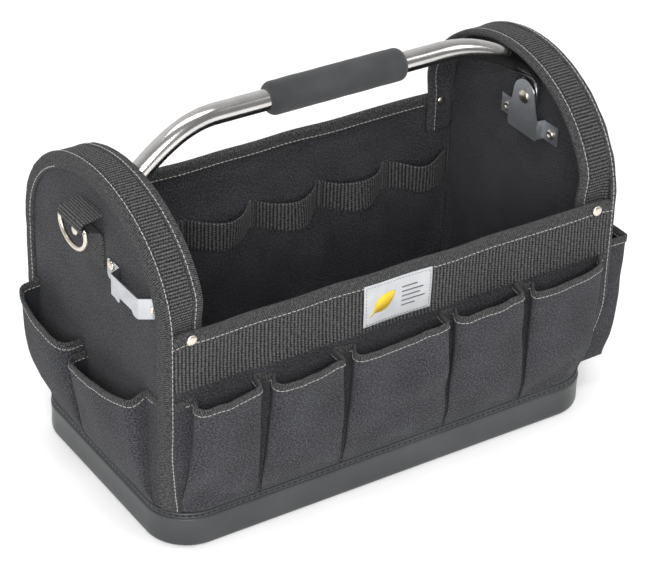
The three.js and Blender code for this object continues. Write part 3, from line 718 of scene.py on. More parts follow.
def build_side_panel(side, sign):
    """A long wall from the tray to its rim."""
    columns = 133
    rows = [(z, HALF_LENGTH) for z in np.linspace(PANEL_LOW[2], RIM, 56)]
    place = on_side(sign)
    outer, flat = wall_grid(rows, HALF_WIDTH, 0, columns)
    inner, _ = wall_grid(rows, HALF_WIDTH, -WALL_CLOTH, columns)
    inner[..., 1] -= side_wall_waves(inner[..., 0], inner[..., 2], sign)
    panel = slab(f"{side}_wall", drape(place(outer)), drape(place(inner)), flat, **CLOTH_LOOK)
    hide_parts(f"{side}_panel")


def build_end_panel(side, sign):
    """An end wall: straight up to the rims and a half ellipse above them."""
    rows = [(z, HALF_WIDTH) for z in np.linspace(PANEL_LOW[2], SPRING_LINE, 50)]
    for angle in np.radians(np.linspace(3, 87, 36)):
        inset = 2.6 * math.sin(angle)
        height = SPRING_LINE + (ARCH_RISE - inset) * math.sin(angle)
        rows.append((height, (HALF_WIDTH - inset) * math.cos(angle)))
    place = on_end(sign)
    outer, flat = wall_grid(rows, HALF_LENGTH, 0)
    inner, _ = wall_grid(rows, HALF_LENGTH, -WALL_CLOTH)
    panel = slab(f"{side}_end_wall", drape(place(outer)), drape(place(inner)), flat, **CLOTH_LOOK)
    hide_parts(f"{side}_end_panel")


# ---------------------------------------------------------------- arch bands and bindings

def edge_frames():
    """(y, z, ny, nz, corner radius) up the front corner, over the arch and down the back corner."""
    levels = np.linspace(LIP_TOP + 0.6, SPRING_LINE, 44)
    angles = np.radians(np.linspace(3, 177, 88))
    normal = unit(together(-np.cos(angles) / HALF_WIDTH, np.sin(angles) / ARCH_RISE))
    radius = corner_radius(levels)
    front = together(-HALF_WIDTH, levels, -1.0, 0.0, radius)
    arch = together(-HALF_WIDTH * np.cos(angles), SPRING_LINE + ARCH_RISE * np.sin(angles),
                    normal[:, 0], normal[:, 1], CORNER_RADIUS)
    back = together(HALF_WIDTH, levels[::-1], 1.0, 0.0, radius[::-1])
    return np.concatenate([front, arch, back])


def corner_point(frames, sign, around, lift):
    """Points at distances round the corner from its seam: positive on the end panel."""
    y, z, ny, nz, radius = (frames[:, k, None] for k in range(5))
    around, lift = np.broadcast_arrays(np.asarray(around, float)[None], np.asarray(lift, float)[None])
    quarter = radius * np.pi / 4
    angle = np.clip(np.pi / 4 - around / radius, 0, np.pi / 2)
    out = -radius + (radius + lift) * np.cos(angle) - np.clip(-around - quarter, 0, None)
    up = -radius + (radius + lift) * np.sin(angle) - np.clip(around - quarter, 0, None)
    return together(sign * (HALF_LENGTH + out), y + ny * up, z + nz * up)


def corner_normal(frames, sign, around):
    """The direction out of the cloth at a distance round the corner."""
    low = corner_point(frames, sign, [around], [0.0])[:, 0]
    high = corner_point(frames, sign, [around], [1.0])[:, 0]
    return unit(high - low)


# Where the seams of the outer binding run, as distances round the corner, and the place across the
# bag from which the inner one shows.
EDGE_SEAMS = {"outer": -2.3, "inner": 10.3, "inner_from": 66}


def build_outer_binding(side, sign):
    """Tape round the end panel's edge. Its outer seam shows all round, its inner one at the back."""
    frames = edge_frames()
    around = np.array([-4.6, -4.3, -3, -1.5, 0, 1.5, 3.5, 6, 8.5, 10.5, 12, 12.7, 12.9])
    puff = np.array([0.3, 1.5, 2.2, 2.7, 2.9, 2.9, 2.7, 2.6, 2.8, 3.1, 3.0, 2.0, 0.3])
    along = arc_lengths(corner_point(frames, sign, [0], [0])[:, 0])
    lumpy = 1 + 0.09 * waves(20 + sign, 6, 9, 40)(along)[:, None]
    base = corner_point(frames, sign, around, [0])
    outer = base + (corner_point(frames, sign, around, puff) - base) * lumpy[..., None]
    under = corner_point(frames, sign, around[1:-1][::-1], [0.2])
    rings = np.concatenate([outer, under], axis=1)
    binding = loft(f"{side}_edge_binding", drape(rings), **TAPE_LOOK)
    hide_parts(f"{side}_outer_binding")
    behind = frames[frames[:, 0] > EDGE_SEAMS["inner_from"]]
    rows = []
    for at, place, lift, seed in ((frames, "outer", 2.6, 33), (behind, "inner", 3.05, 31)):
        line = corner_point(at, sign, [EDGE_SEAMS[place]], [lift])[:, 0]
        rows.append(stitch_row(drape(line), corner_normal(at, sign, EDGE_SEAMS[place]), seed=seed))
    build_stitches(f"{side}_edge_stitches", rows, **SEAM_LOOK)


# How far the gusset's ends lie inside the walls.
TUCK = 8.0


def gusset_path(tail=38.0):
    """(y, z, ny, nz, tuck) from inside the front rim, over the arch, to inside the back rim."""
    start = math.asin((GUSSET_LOW[2] - SPRING_LINE) / ARCH_RISE)
    angles = np.linspace(start, np.pi - start, 150)
    normal = unit(together(-np.cos(angles) / HALF_WIDTH, np.sin(angles) / ARCH_RISE))
    z = SPRING_LINE + ARCH_RISE * np.sin(angles)
    tuck = TUCK * (1 - smooth(z, GUSSET_LOW[2], GUSSET_LOW[2] + 34))
    arch = together(-HALF_WIDTH * np.cos(angles), z, normal[:, 0], normal[:, 1], tuck)
    z_tail = GUSSET_LOW[2] - np.linspace(tail, 1.5, 12)
    front = together(-HALF_WIDTH, z_tail, -1.0, 0.0, TUCK)
    back = together(HALF_WIDTH, z_tail[::-1], 1.0, 0.0, TUCK)
    return np.concatenate([front, arch, back])


def gusset_point(path, sign, x, lift):
    """Points at places x across the gusset and heights above its outer surface."""
    y, z, ny, nz, tuck = (path[:, k, None] for k in range(5))
    x = np.asarray(x, float)
    high = np.asarray(lift, float) - tuck * (1 - 0.7 * smooth(x, 218, 227))
    return settle(together(sign * x, y + ny * high, z + nz * high))


def build_gusset(side, sign):
    """The arch's own band of cloth, from rim to rim."""
    path = gusset_path()
    along = arc_lengths(path[:, :2])
    x = np.linspace(GUSSET_LOW[0] + 0.3, GUSSET_HIGH[0], 22)
    flat = together(along[:, None], x)
    wave = 0.35 * ripples(40 + sign, 4, 25, 70)(flat[..., 0], flat[..., 1])
    outer = gusset_point(path, sign, x, 0)
    inner = gusset_point(path, sign, x, wave - WALL_CLOTH)
    cloth = slab(f"{side}_arch_band", outer, inner, flat, **CLOTH_LOOK)
    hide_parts(f"{side}_gusset")


# The pitch of the ribs of each webbing, and where the arch's webbing lies along the bag.
RIB = {"arch": 3.2, "band": 3.6, "loop": 3.4, "strap": 2.5}
ARCH_STRAP = {"middle": 214.1, "half": 10.5}


def rib_height(distance, pitch, depth):
    """Rounded ribs with narrow grooves between them."""
    return depth * np.abs(np.cos(np.pi * distance / pitch)) ** 0.45


def selvedge(inside, width):
    """How full a woven edge is, at distances inside it."""
    return np.clip(inside / width, 0, 1) ** 0.5


def build_gusset_webbing(side, sign):
    """Ribbed webbing laid along the arch band."""
    path = gusset_path(tail=3.0)
    along = arc_lengths(path[:, :2])
    fine = np.arange(0, along[-1], RIB["arch"] / 8)
    path = resample(path, np.interp(fine, along, arc_lengths(path)))
    across = ARCH_STRAP["half"] * np.linspace(-1, 1, 16)
    x = ARCH_STRAP["middle"] + across
    edge = selvedge(ARCH_STRAP["half"] - np.abs(across), 1.2)
    ribs = rib_height(fine, RIB["arch"], 0.95)[:, None] * edge
    weave = 0.12 * np.sin(2 * np.pi * x / 2.6) * np.cos(2 * np.pi * fine / RIB["arch"])[:, None]
    outer = gusset_point(path, sign, x, 0.9 + ribs + weave)
    inner = gusset_point(path, sign, x, 0.25)
    flat = together(fine[:, None] / RIB["arch"], x)
    strap = slab(f"{side}_arch_webbing", outer, inner, flat, **STRAP_LOOK)
    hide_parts(f"{side}_gusset_webbing")


def build_inner_binding(side, sign):
    """Tape round the gusset's free edge, with a seam above and one below."""
    path = gusset_path(tail=37.0)
    along = arc_lengths(path[:, :2])
    section = np.array([
        (203.0, 0.2), (203.0, 1.2), (202.4, 1.75), (200, 1.95), (197, 2.0), (195.2, 1.6), (193.9, 0.6),
        (193.4, -0.9), (193.9, -2.6), (195.2, -3.6), (197, -4.0), (200, -3.9), (202.4, -3.6), (203.0, -3.0),
        (203.0, -1.9),
    ])
    core, seam = -1.0, 200.9
    lumpy = 1 + 0.08 * waves(50 + sign, 6, 8, 36)(along)[:, None]
    lift = core + (section[:, 1] - core) * lumpy
    rings = gusset_point(path, sign, section[:, 0], lift)
    binding = loft(f"{side}_arch_edge_binding", rings, **TAPE_LOOK)
    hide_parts(f"{side}_inner_binding")
    up = together(0, path[:, 2], path[:, 3])
    top = gusset_point(path, sign, [seam], 1.95)[:, 0]
    below = gusset_point(path, sign, [seam], -3.95)[:, 0]
    shown = slice(10, -10)
    rows = [stitch_row(top[shown], up[shown], seed=52), stitch_row(below, -up, seed=53)]
    build_stitches(f"{side}_arch_stitches", rows, **SEAM_LOOK)


# ---------------------------------------------------------------- rims, bands and label

def build_rim(side, sign):
    """Binding tape over the long rim, with a row of stitches on both sides."""
    end = HALF_LENGTH - 1.2
    x = np.linspace(-end, end, 240)
    wave = 0.2 * waves(60 + sign, 5, 60, 160)(x) - 1.6 * smooth(np.abs(x), 213, 228)
    middle = HALF_WIDTH - PANEL_THICKNESS / 2
    section = np.array([
        (-3.1, 212.6), (3.0, 212.6), (3.6, 213.2), (3.7, 215.5), (3.75, 219), (3.6, 222), (2.9, 224.2),
        (1.5, 225.3), (0, 225.6), (-1.5, 225.3), (-2.9, 224.2), (-3.5, 222), (-3.6, 219), (-3.55, 215.5),
        (-3.5, 213.2),
    ])
    lumpy = 1 + 0.035 * waves(62 + sign, 6, 9, 30)(x)[:, None]
    rings = together(x[:, None], sign * (middle + section[:, 0] * lumpy), section[:, 1] + wave[:, None])
    binding = loft(f"{side}_rim_tape", drape(rings), **TAPE_LOOK)
    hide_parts(f"{side}_rim_binding")
    rows = []
    for way, seed, reach in ((1, 65, HALF_LENGTH), (-1, 66, GUSSET_LOW[0] - 3)):
        line = drape(together(x, sign * (middle + way * 3.65), 215.2 + wave))
        normals = np.tile([0, sign * way, 0], (len(x), 1))
        shown = np.abs(x) < reach
        rows.append(stitch_row(line[shown], normals[shown], seed=seed))
    build_stitches(f"{side}_rim_stitches", rows, **SEAM_LOOK)


def build_band(side, sign):
    """Wide ribbed webbing under the rim. Its ribs stand upright, and its lower edge hangs free."""
    low, high = BAND_LOW[2], BAND_HIGH[2]
    x = np.arange(BAND_LOW[0], BAND_HIGH[0] + 0.01, RIB["band"] / 7)
    z = np.concatenate([[low - 0.4], np.linspace(low, high + 0.6, 26)])[:, None]
    ribs = rib_height(x, RIB["band"], 0.95)
    beads = 0.1 * np.sin(2 * np.pi * z / 2.4)
    loose = 0.9 * (1 - smooth(z, low, low + 12))
    edge = np.where(z < low, 0.2, 1.0)
    surface = HALF_WIDTH + GAP
    out = surface + 0.7 + loose + (ribs + beads) * edge
    under = surface - 0.1 + loose
    scallop = 0.35 * np.abs(np.cos(np.pi * x / RIB["band"])) * (1 - smooth(z, low, low + 3))
    outer = together(x, sign * out, z - scallop)
    inner = together(x, sign * under, z - scallop)
    flat = together(x / RIB["band"], z)
    strap = slab(f"{side}_ribbed_band", drape(outer), drape(inner), flat, **STRAP_LOOK)
    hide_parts(f"{side}_webbing_band")


# How far a rim rivet reaches past the rim, through the arch band's tail.
RIVET_TAIL = 3.6


def build_rim_rivets():
    """Capped rivets through the rim and the tail of the arch band: a domed cap outside, a ring inside."""
    half = (RIVET_HIGH[1] - RIVET_LOW[1]) / 2
    inside = -half - RIVET_TAIL
    profile = [
        (0.01, inside - 0.8), (1.8, inside - 0.6), (3.4, inside), (4.7, inside + 0.9), (5.2, inside + 1.8),
        (4.9, inside + 2.2), (2.0, inside + 2.3), (2.0, half - 2.3), (4.9, half - 2.2), (5.1, half - 1.8),
        (4.9, half - 1.2), (4.2, half - 0.6), (3.0, half - 0.15), (1.5, half + 0.05), (0.01, half + 0.1),
    ]
    for side, sign in FACES:
        for end, _ in ENDS:
            node = f"{side}_{end}_rim_rivet"
            low, high = span(node)
            rivet = lathe(f"{side}_{end}_rivet", profile, (low + high) / 2, (0, sign, 0), **RIVET_LOOK)
            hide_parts(node)


def outline_piece(name, outline, low, high, bow, **look):
    """A thin flat shape on the label: a filled outline between two depths (out of the wall)."""
    outline = np.asarray(outline, float)
    count = len(outline)
    x, z = outline[:, 0], outline[:, 1]
    points = [together(x, -(out + bow(x, z)), z) for out in (high, low)]
    ring = np.arange(count)
    following = (ring + 1) % count
    sides = np.stack([ring, ring + count, following + count, following], axis=1)
    faces = [ring[None], ring[None, ::-1] + count, sides]
    points = np.concatenate(points)
    uv = np.concatenate([outline, outline])
    return make_object(name, drape(points), outward(points, faces), uv, **look)


def leaf_outline(centre, length, width, lean):
    """A plain leaf with a short stalk."""
    t = np.linspace(0, 1, 24)
    half = width / 2 * np.sin(np.pi * t) ** 0.8 * (1 - 0.25 * t)
    upper = together(t * length - length / 2, half)
    lower = together(t[::-1] * length - length / 2, -half[::-1])
    root, stalk, thick = 1 - length / 2, -5 - length / 2, 0.7
    foot = [(root, -thick), (stalk, -thick), (stalk, thick), (root, thick)]
    shape = np.concatenate([upper, lower[1:-1], foot])
    turn = np.array([[math.cos(lean), -math.sin(lean)], [math.sin(lean), math.cos(lean)]])
    return shape @ turn.T + centre


def build_label():
    """A sewn label with a plain leaf and bars. It carries no lettering."""
    low, high = LABEL_LOW[[0, 2]], LABEL_HIGH[[0, 2]]
    x, z = np.meshgrid(np.linspace(low[0], high[0], 36), np.linspace(low[1], high[1], 22))
    pillow = ripples(70, 4, 24, 60)
    base = -LABEL_LOW[1] - 0.5

    def bow(a, b):
        """How far the label stands out, less at its sewn edge."""
        edge = np.minimum(np.minimum(a - low[0], high[0] - a), np.minimum(b - low[1], high[1] - b))
        return 0.18 * pillow(a, b) + 0.35 * smooth(edge, 0, 4)

    def front(p):
        return drape(together(p[..., 0], -(base + bow(p[..., 0], p[..., 1])), p[..., 1]))

    flat = together(x, z)
    tape = slab("woven_label", front(flat), drape(together(x, 0.55 - base, z)), flat, slot="label",
                material=LABEL)
    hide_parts("front_label")
    inset = 2.2
    rows = boxed_stitches(low + inset, high - inset, front, (0.0, -1.0, 0.0), 30, 71,
                          pitch=3.2, length=2.3, radius=0.26)
    build_stitches("label_stitches", rows, slot="label", material=LABEL_GREY)
    middle = (low[1] + high[1]) / 2
    leaf = leaf_outline((low[0] + 21, middle + 0.5), 27, 17, math.radians(38))
    outline_piece("label_leaf", leaf, base - 0.1, base + 0.2, bow, slot="label", material=LABEL_YELLOW)
    left, thick = low[0] + 39, 1.1
    for i, length in enumerate((16, 22, 19, 24, 14)):
        top = high[1] - 11 - i * 4.6
        bar = [(left, top - thick), (left + length, top - thick), (left + length, top), (left, top)]
        outline_piece(f"label_bar_{i + 1}", bar, base - 0.1, base + 0.16, bow, slot="label",
                      material=LABEL_GREY)


# ---------------------------------------------------------------- pockets

POCKET_FOOT = LIP_TOP + 0.7
POCKET_CLOTH = 1.4
# How far out the cloth lies where it is sewn on the wall, and how far it stops from the wall's end.
POCKET_LAID = 1.2
CORNER_CLEAR = 3.5
# The cloth that one pleat takes up.
PLEAT_CLOTH = 24


def rounded_line(corners, radii, counts, shares=(0.48,) * 4):
    """A line through corners, each rounded by its radius, with a fixed number of points. A corner takes
    at most its share of the stretch on either side."""
    corners = np.asarray(corners, float)
    before, after = [], []
    for i in range(1, len(corners) - 1):
        a, b, c = corners[i - 1], corners[i], corners[i + 1]
        share = shares[i - 1]
        reach = min(radii[i - 1], share * np.linalg.norm(a - b), share * np.linalg.norm(c - b))
        before.append(b + (a - b) / max(np.linalg.norm(a - b), 1e-6) * reach)
        after.append(b + (c - b) / max(np.linalg.norm(c - b), 1e-6) * reach)
    points = []
    start = corners[0]
    t = np.linspace(0, 1, 9)[1:, None]
    for i, (p, q) in enumerate(zip(before, after)):
        first = 0 if i == 0 else 1
        points.extend(mix(start, p, np.linspace(0, 1, counts[i] + 1)[first:-1, None]))
        points.append(p)
        b = corners[i + 1]
        points.extend((1 - t) ** 2 * p + 2 * t * (1 - t) * b + t * t * q)
        start = q
    points.extend(mix(start, corners[-1], np.linspace(0, 1, counts[-1] + 1)[1:, None]))
    return np.array(points)


def line_normals(line):
    """Unit normals of a 2-D line, on its left."""
    tangent = unit(np.gradient(line, axis=0))
    return np.stack([-tangent[:, 1], tangent[:, 0]], axis=1)


class Pocket:
    """A bellows pocket on a wall. Places are (foot, rim) pairs along the wall.

    start, stop: the ends of the cloth; root: where it leaves the wall at each side; face: the corners
    of the front; depth: how far each face corner stands out; top: the rim's height at the roots and
    the face; dip: how far the rim sags; crown: the belly of the face; corner: its corners' radii;
    reach: half the wall's length; wall: its distance from the middle; slope: how early the face
    stands out above the foot.
    """

    levels = 27

    def __init__(self, start, stop, root, face, depth, top, dip, crown, corner, reach, wall, seed,
                 slope=0.8):
        self.start, self.stop, self.root, self.face, self.depth = start, stop, root, face, depth
        self.top, self.dip, self.crown, self.corner = top, dip, crown, corner
        self.reach, self.wall, self.seed, self.slope = reach, wall, seed, slope
        self.make()

    def ring(self, t):
        """(along, out) at a share t of the height, and how far along the face and out each point is."""
        z = mix(POCKET_FOOT, self.top[0], t)
        left, right = (mix(*pair, t) for pair in self.face)
        root_left, root_right = (mix(*pair, t) for pair in self.root)
        depth_left, depth_right = (mix(*pair, t ** self.slope) for pair in self.depth)
        ends = (self.start, root_left, root_right, self.stop)
        sewn = [(a, POCKET_LAID - self.fallback(a, z)) for a in ends]
        face = [(left, depth_left - self.fallback(left, z) * 0.9),
                (right, depth_right - self.fallback(right, z) * 0.9)]
        corners = [*sewn[:2], *face, *sewn[2:]]
        radii = (3.5, *(mix(1.2, radius, t) for radius in self.corner), 3.5)
        line = rounded_line(corners, radii, (3, 5, 26, 5, 3), shares=(0.25, 0.72, 0.72, 0.25))
        share = np.clip((line[:, 0] - left) / max(right - left, 1), 0, 1)
        standing = np.clip(line[:, 1] / max(depth_left, depth_right), 0, 1)
        belly = self.crown * 4 * share * (1 - share) * standing * np.sin(np.pi * min(t, 1) ** 0.9 * 0.62)
        line[:, 1] += belly
        return line, share, standing

    def fallback(self, along, z):
        """How far the wall's corner falls back behind its flat part."""
        radius = corner_radius(z)
        past = np.clip(np.abs(along) - (self.reach - radius), 0, radius)
        return radius - np.sqrt(radius * radius - past * past)

    def make(self):
        shares = np.linspace(0, 1, self.levels)
        fold = ripples(self.seed, 4, 34, 90)
        crease = waves(self.seed + 500, 3, 18, 44)
        outer, inner, flat = [], [], []
        for t in shares:
            line, share, standing = self.ring(t)
            normal = line_normals(line)
            along = arc_lengths(line)
            rim = self.rim(share, standing)
            z = mix(POCKET_FOOT, rim, t)
            grip = standing * np.sin(np.pi * 0.5 * min(t * 2.2, 1))
            push = grip * (0.55 * fold(line[:, 0], z) + 0.15 * crease(share * 90) * t)
            moved = line + normal * push[:, None]
            for lift, sheet in ((0, outer), (-POCKET_CLOTH, inner)):
                x, out = (moved + normal * lift).T
                clear = GAP + POCKET_CLOTH + lift - self.fallback(x, z)
                sheet.append(together(x, np.maximum(out, clear), z))
            flat.append(together(along, z))
        self.outer, self.inner, self.flat = np.array(outer), np.array(inner), np.array(flat)

    def rim(self, share, standing):
        high_left, face_left, face_right, high_right = self.top
        face = mix(face_left, face_right, share) - self.dip * 4 * share * (1 - share)
        root = np.where(share < 0.5, high_left, high_right)
        wobble = 0.5 * waves(self.seed + 900, 4, 14, 40)(share * 80)
        return mix(root, face, smooth(standing, 0.05, 0.9)) + wobble * standing

    def build(self, name, node, place, flat_size):
        def world(points):
            return drape(place(points + (0, self.wall, 0)))

        # The inner side of the pocket cloth is painted darker, as shade inside the pocket.
        cloth = slab(name, world(self.outer), world(self.inner), self.flat, coated_and_shaded=True, **CLOTH_LOOK)
        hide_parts(node)
        tape = self.build_tape(name, world)
        thread = self.build_thread(name, world)

    def rim_frames(self):
        """The cloth's mid line along the rim, with the directions out of the cloth and up along it."""
        top = (self.outer[-1] + self.inner[-1]) / 2
        below = (self.outer[-3] + self.inner[-3]) / 2
        out = unit(self.outer[-1] - self.inner[-1])
        up = unit(top - below)
        return top, out, up

    def build_tape(self, name, world):
        """Binding tape folded over the rim."""
        top, out, up = self.rim_frames()
        even = np.arange(0, arc_lengths(top)[-1], 1.6)
        distance = arc_lengths(top)
        top, out, up = (
            np.stack([np.interp(even, distance, a[:, k]) for k in range(3)], axis=1) for a in (top, out, up)
        )
        half = POCKET_CLOTH / 2
        section = np.array([
            (-half - 0.3, -7.2), (half + 0.3, -7.2), (half + 0.75, -6.6), (half + 0.85, -4),
            (half + 0.8, -1), (half + 0.45, 0.4), (0.4, 0.9), (-0.4, 0.9), (-half - 0.45, 0.4),
            (-half - 0.8, -1), (-half - 0.85, -4), (-half - 0.75, -6.6),
        ])
        lump = 1 + 0.07 * waves(self.seed + 77, 5, 7, 26)(even)
        depth = 1 + 0.06 * waves(self.seed + 78, 4, 12, 40)(even)
        rings = (top[:, None] + section[None, :, :1] * lump[:, None, None] * out[:, None]
                 + section[None, :, 1:] * depth[:, None, None] * up[:, None])
        return loft(name + "_tape", world(rings), **TAPE_LOOK)

    def build_thread(self, name, world):
        """A row of stitches on each side of the rim's tape."""
        top, out, up = self.rim_frames()
        rows = []
        for way in (1, -1):
            line = top + out * way * (POCKET_CLOTH / 2 + 0.85) - up * 5.6
            laid = world(line)
            lifted = world(line + out * way)
            rows.append(stitch_row(laid[2:-2], unit(lifted - laid)[2:-2], pitch=4.3, length=3.7, radius=0.4,
                                   seed=self.seed + 5 + way))
        return build_stitches(name + "_stitches", rows, **SEAM_LOOK)


# The pleats of the long sides, from the left corner to the right: where the cloth meets the
# tray, the edges of its flat part on the wall, and the face corners on both sides of it.
SIDE_PLEATS = (
    {"foot": -142, "root": (-148, -130), "face": (-153, -142)},
    {"foot": -57, "root": (-69, -49), "face": (-71, -62)},
    {"foot": 54, "root": (41, 57), "face": (37, 43)},
    {"foot": 140, "root": (123, 142), "face": (118, 126)},
)
SIDE_POCKET = {
    "depth": (1.4, 23.0), "rim": (161.7, 165.2), "root_rim": (159.7, 163.4), "dip": 1.6, "crown": 2.4,
    "rise": (0.0, 0.0, 2.5, 6.0, 5.0),
}
CORNER_PLEAT = {
    "foot": 217.5, "root_left": -205.5, "face_left": -217.5, "face_right": 208.5, "root_right": 219.0,
}
AGAINST_SIDE = {"reach": HALF_LENGTH, "wall": HALF_WIDTH}
AGAINST_END = {"reach": HALF_WIDTH, "wall": HALF_LENGTH}


def side_pocket(index, seed):
    """One of the five pockets of a long side, between two pleats or between a pleat and a corner."""
    end = HALF_LENGTH - CORNER_CLEAR
    low, high = SIDE_POCKET["depth"]
    if index > 0:
        before = SIDE_PLEATS[index - 1]
        start, foot_left = sum(before["root"]) / 2, before["foot"] + 0.5
        root_left, face_left = before["root"][1], before["face"][1]
    else:
        start, foot_left = -end, -CORNER_PLEAT["foot"]
        root_left, face_left = CORNER_PLEAT["root_left"], CORNER_PLEAT["face_left"]
    last = index == len(SIDE_PLEATS)
    if last:
        stop, foot_right = end, CORNER_PLEAT["foot"]
        root_right, face_right = CORNER_PLEAT["root_right"], CORNER_PLEAT["face_right"]
    else:
        after = SIDE_PLEATS[index]
        stop, foot_right = sum(after["root"]) / 2, after["foot"] - 0.5
        root_right, face_right = after["root"][0], after["face"][0]
    rise = SIDE_POCKET["rise"][index]
    rim, root_rim = ([z + rise for z in SIDE_POCKET[key]] for key in ("rim", "root_rim"))
    return Pocket(
        start=start, stop=stop, root=((foot_left + 3, root_left), (foot_right - 3, root_right)),
        face=((foot_left, face_left), (foot_right, face_right)),
        depth=((low, high), (low, high - (5 if last else 0))),
        top=(root_rim[0], *rim, root_rim[1]), dip=SIDE_POCKET["dip"], crown=SIDE_POCKET["crown"],
        corner=(14.0, 4.0), seed=seed, **AGAINST_SIDE,
    )


def build_side_pockets(side, sign):
    """Pockets of a long side, from its left end to its right as seen from outside."""
    def place(points):
        return points * (-sign, sign, 1)

    for index in range(len(SIDE_PLEATS) + 1):
        pocket = side_pocket(index, seed=100 + 10 * index + (50 if sign > 0 else 0))
        number = index + 1 if sign < 0 else 5 - index
        width = round((pocket.stop - pocket.start + 2 * PLEAT_CLOTH) * MM, 3)
        pocket.build(f"{side}_bellows_pocket_{number}", f"{side}_pocket_{number}", place, (width, 0.132))


def build_left_pockets():
    """Two gaping pockets on the left end. Along runs from the front corner to the back one."""
    end = HALF_WIDTH - CORNER_CLEAR
    front = Pocket(
        start=-end, stop=18.5, root=((-96, -90), (16, 18)), face=((-97, -95), (15, 15)),
        depth=((1.2, 21), (1.2, 22)), top=(155, 150, 134, 133), dip=0, crown=6, corner=(14, 12),
        seed=210, slope=0.62, **AGAINST_END,
    )
    front.build("left_front_gaping_pocket", "left_front_pocket", on_end(-1), (0.165, 0.132))
    back = Pocket(
        start=20.5, stop=end, root=((20, 22), (106, 107)), face=((19, 19), (107, 108)),
        depth=((1.2, 22), (1.2, 21)), top=(143, 143, 157, 158), dip=0, crown=9, corner=(12, 9),
        seed=220, slope=0.55, **AGAINST_END,
    )
    back.build("left_back_gaping_pocket", "left_back_pocket", on_end(-1), (0.165, 0.132))


def build_right_pocket():
    """A tall square-cornered pocket on the right end, with a floor of its own."""
    pocket = Pocket(
        start=-HALF_WIDTH + CORNER_CLEAR, stop=-2, root=((-107, -107), (-10, -10)),
        face=((-106, -109), (-12, -9)), depth=((32, 36), (32, 36)), top=(166, 166, 166, 166), dip=1.5,
        crown=0.8, corner=(4, 4), seed=230, **AGAINST_END,
    )
    place = on_end(1)
    pocket.build("right_tall_pocket", "right_box_pocket", place, (0.19, 0.135))
    foot = pocket.outer[0]
    edge = resample(foot, np.linspace(0, 1, 40) * arc_lengths(foot)[-1])
    wall = edge.copy()
    wall[:, 1] = 0.8 - pocket.fallback(edge[:, 0], POCKET_FOOT)
    sheet = mix(edge, wall, np.linspace(0, 1, 8)[:, None, None]) + (0, HALF_LENGTH, 0.8)
    inner = sheet + (0, 0, POCKET_CLOTH)
    slab("right_tall_pocket_floor", drape(place(sheet)), drape(place(inner)), sheet[..., :2], **CLOTH_LOOK)


# ---------------------------------------------------------------- tool loops

def build_tool_loops():
    """Webbing sewn inside the back wall in six bulges."""
    wall = HALF_WIDTH - PANEL_THICKNESS + 0.1
    bulge = (LOOP_HIGH[1] - LOOP_LOW[1]) - 2.4
    rows = []
    for number in range(1, 7):
        low, high = span(f"tool_loop_{number}")
        t = np.linspace(0, 1, 400)
        tab = 4.0 / (high[0] - low[0])
        inner_share = np.clip((t ** 0.92 - tab) / (1 - 2 * tab), 0, 1)
        out = (bulge - 1.5 * (number % 2)) * np.sin(np.pi * inner_share) ** 0.85
        line = together(mix(low[0] - 0.4, high[0] + 0.4, t), 1.2 + out)
        total = arc_lengths(line)[-1]
        at = np.arange(0, total, RIB["loop"] / 6)
        line = resample(line, at)
        normal = line_normals(line)
        z = np.linspace(low[2], high[2], 20)
        arch = np.sin(np.pi * at / total)
        shift = 0.8 * waves(300 + number, 3, 40, 90)(at) - 1.2 * arch
        ribs = rib_height(at, RIB["loop"], 0.75)[:, None]
        edge = selvedge(np.minimum(z - low[2], high[2] - z), 1.0)
        flare = 1.6 * arch * waves(330 + number, 2, 60, 120)(at)
        tilt = flare[:, None] * (z - z.mean()) / 15.0
        sides = []
        for away in (0.5 + ribs * edge + tilt, tilt - 0.6):
            plan = line[:, None] + normal[:, None] * away[..., None]
            sides.append(drape(together(plan[..., 0], wall - plan[..., 1], z + shift[:, None])))
        flat = together(at[:, None] / RIB["loop"], z)
        loop = slab(f"webbing_loop_{number}", *sides, flat, **STRAP_LOOK)
        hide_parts(f"tool_loop_{number}")
        for x in (low[0] + 1.2, high[0] - 1.2):
            bar = together(x, wall - 2.6, np.linspace(low[2] + 2, high[2] - 2, 16))
            rows.append(stitch_row(drape(bar), np.tile([0.0, -1.0, 0.0], (16, 1)), pitch=2.6, length=2.2,
                                   radius=0.34, seed=350 + number))
    build_stitches("loop_bartacks", rows, slot="webbing", material=BLACK_THREAD)


# ---------------------------------------------------------------- handle

# The tube's straight part reaches this far from the middle, and each flat leg stands at LEG's x.
TUBE = {"radius": 9.5, "top": float(GRIP_HIGH[2] + GRIP_LOW[2]) / 2, "straight": 112.0}
LEG = {"x": 222.0, "half_thickness": 2.0, "half_width": 16.0}
# The (x, z) points that guide each bend, and the heights of the tube where it flattens beyond it.
BENDS = {"left": ((145, 343), (171, 322), (205, 289)), "right": ((150, 344), (180, 330), (214, 305))}
SHOULDERS = {"left": (301.5, 300.2, 299.0), "right": (310.6, 305.2, 299.0)}


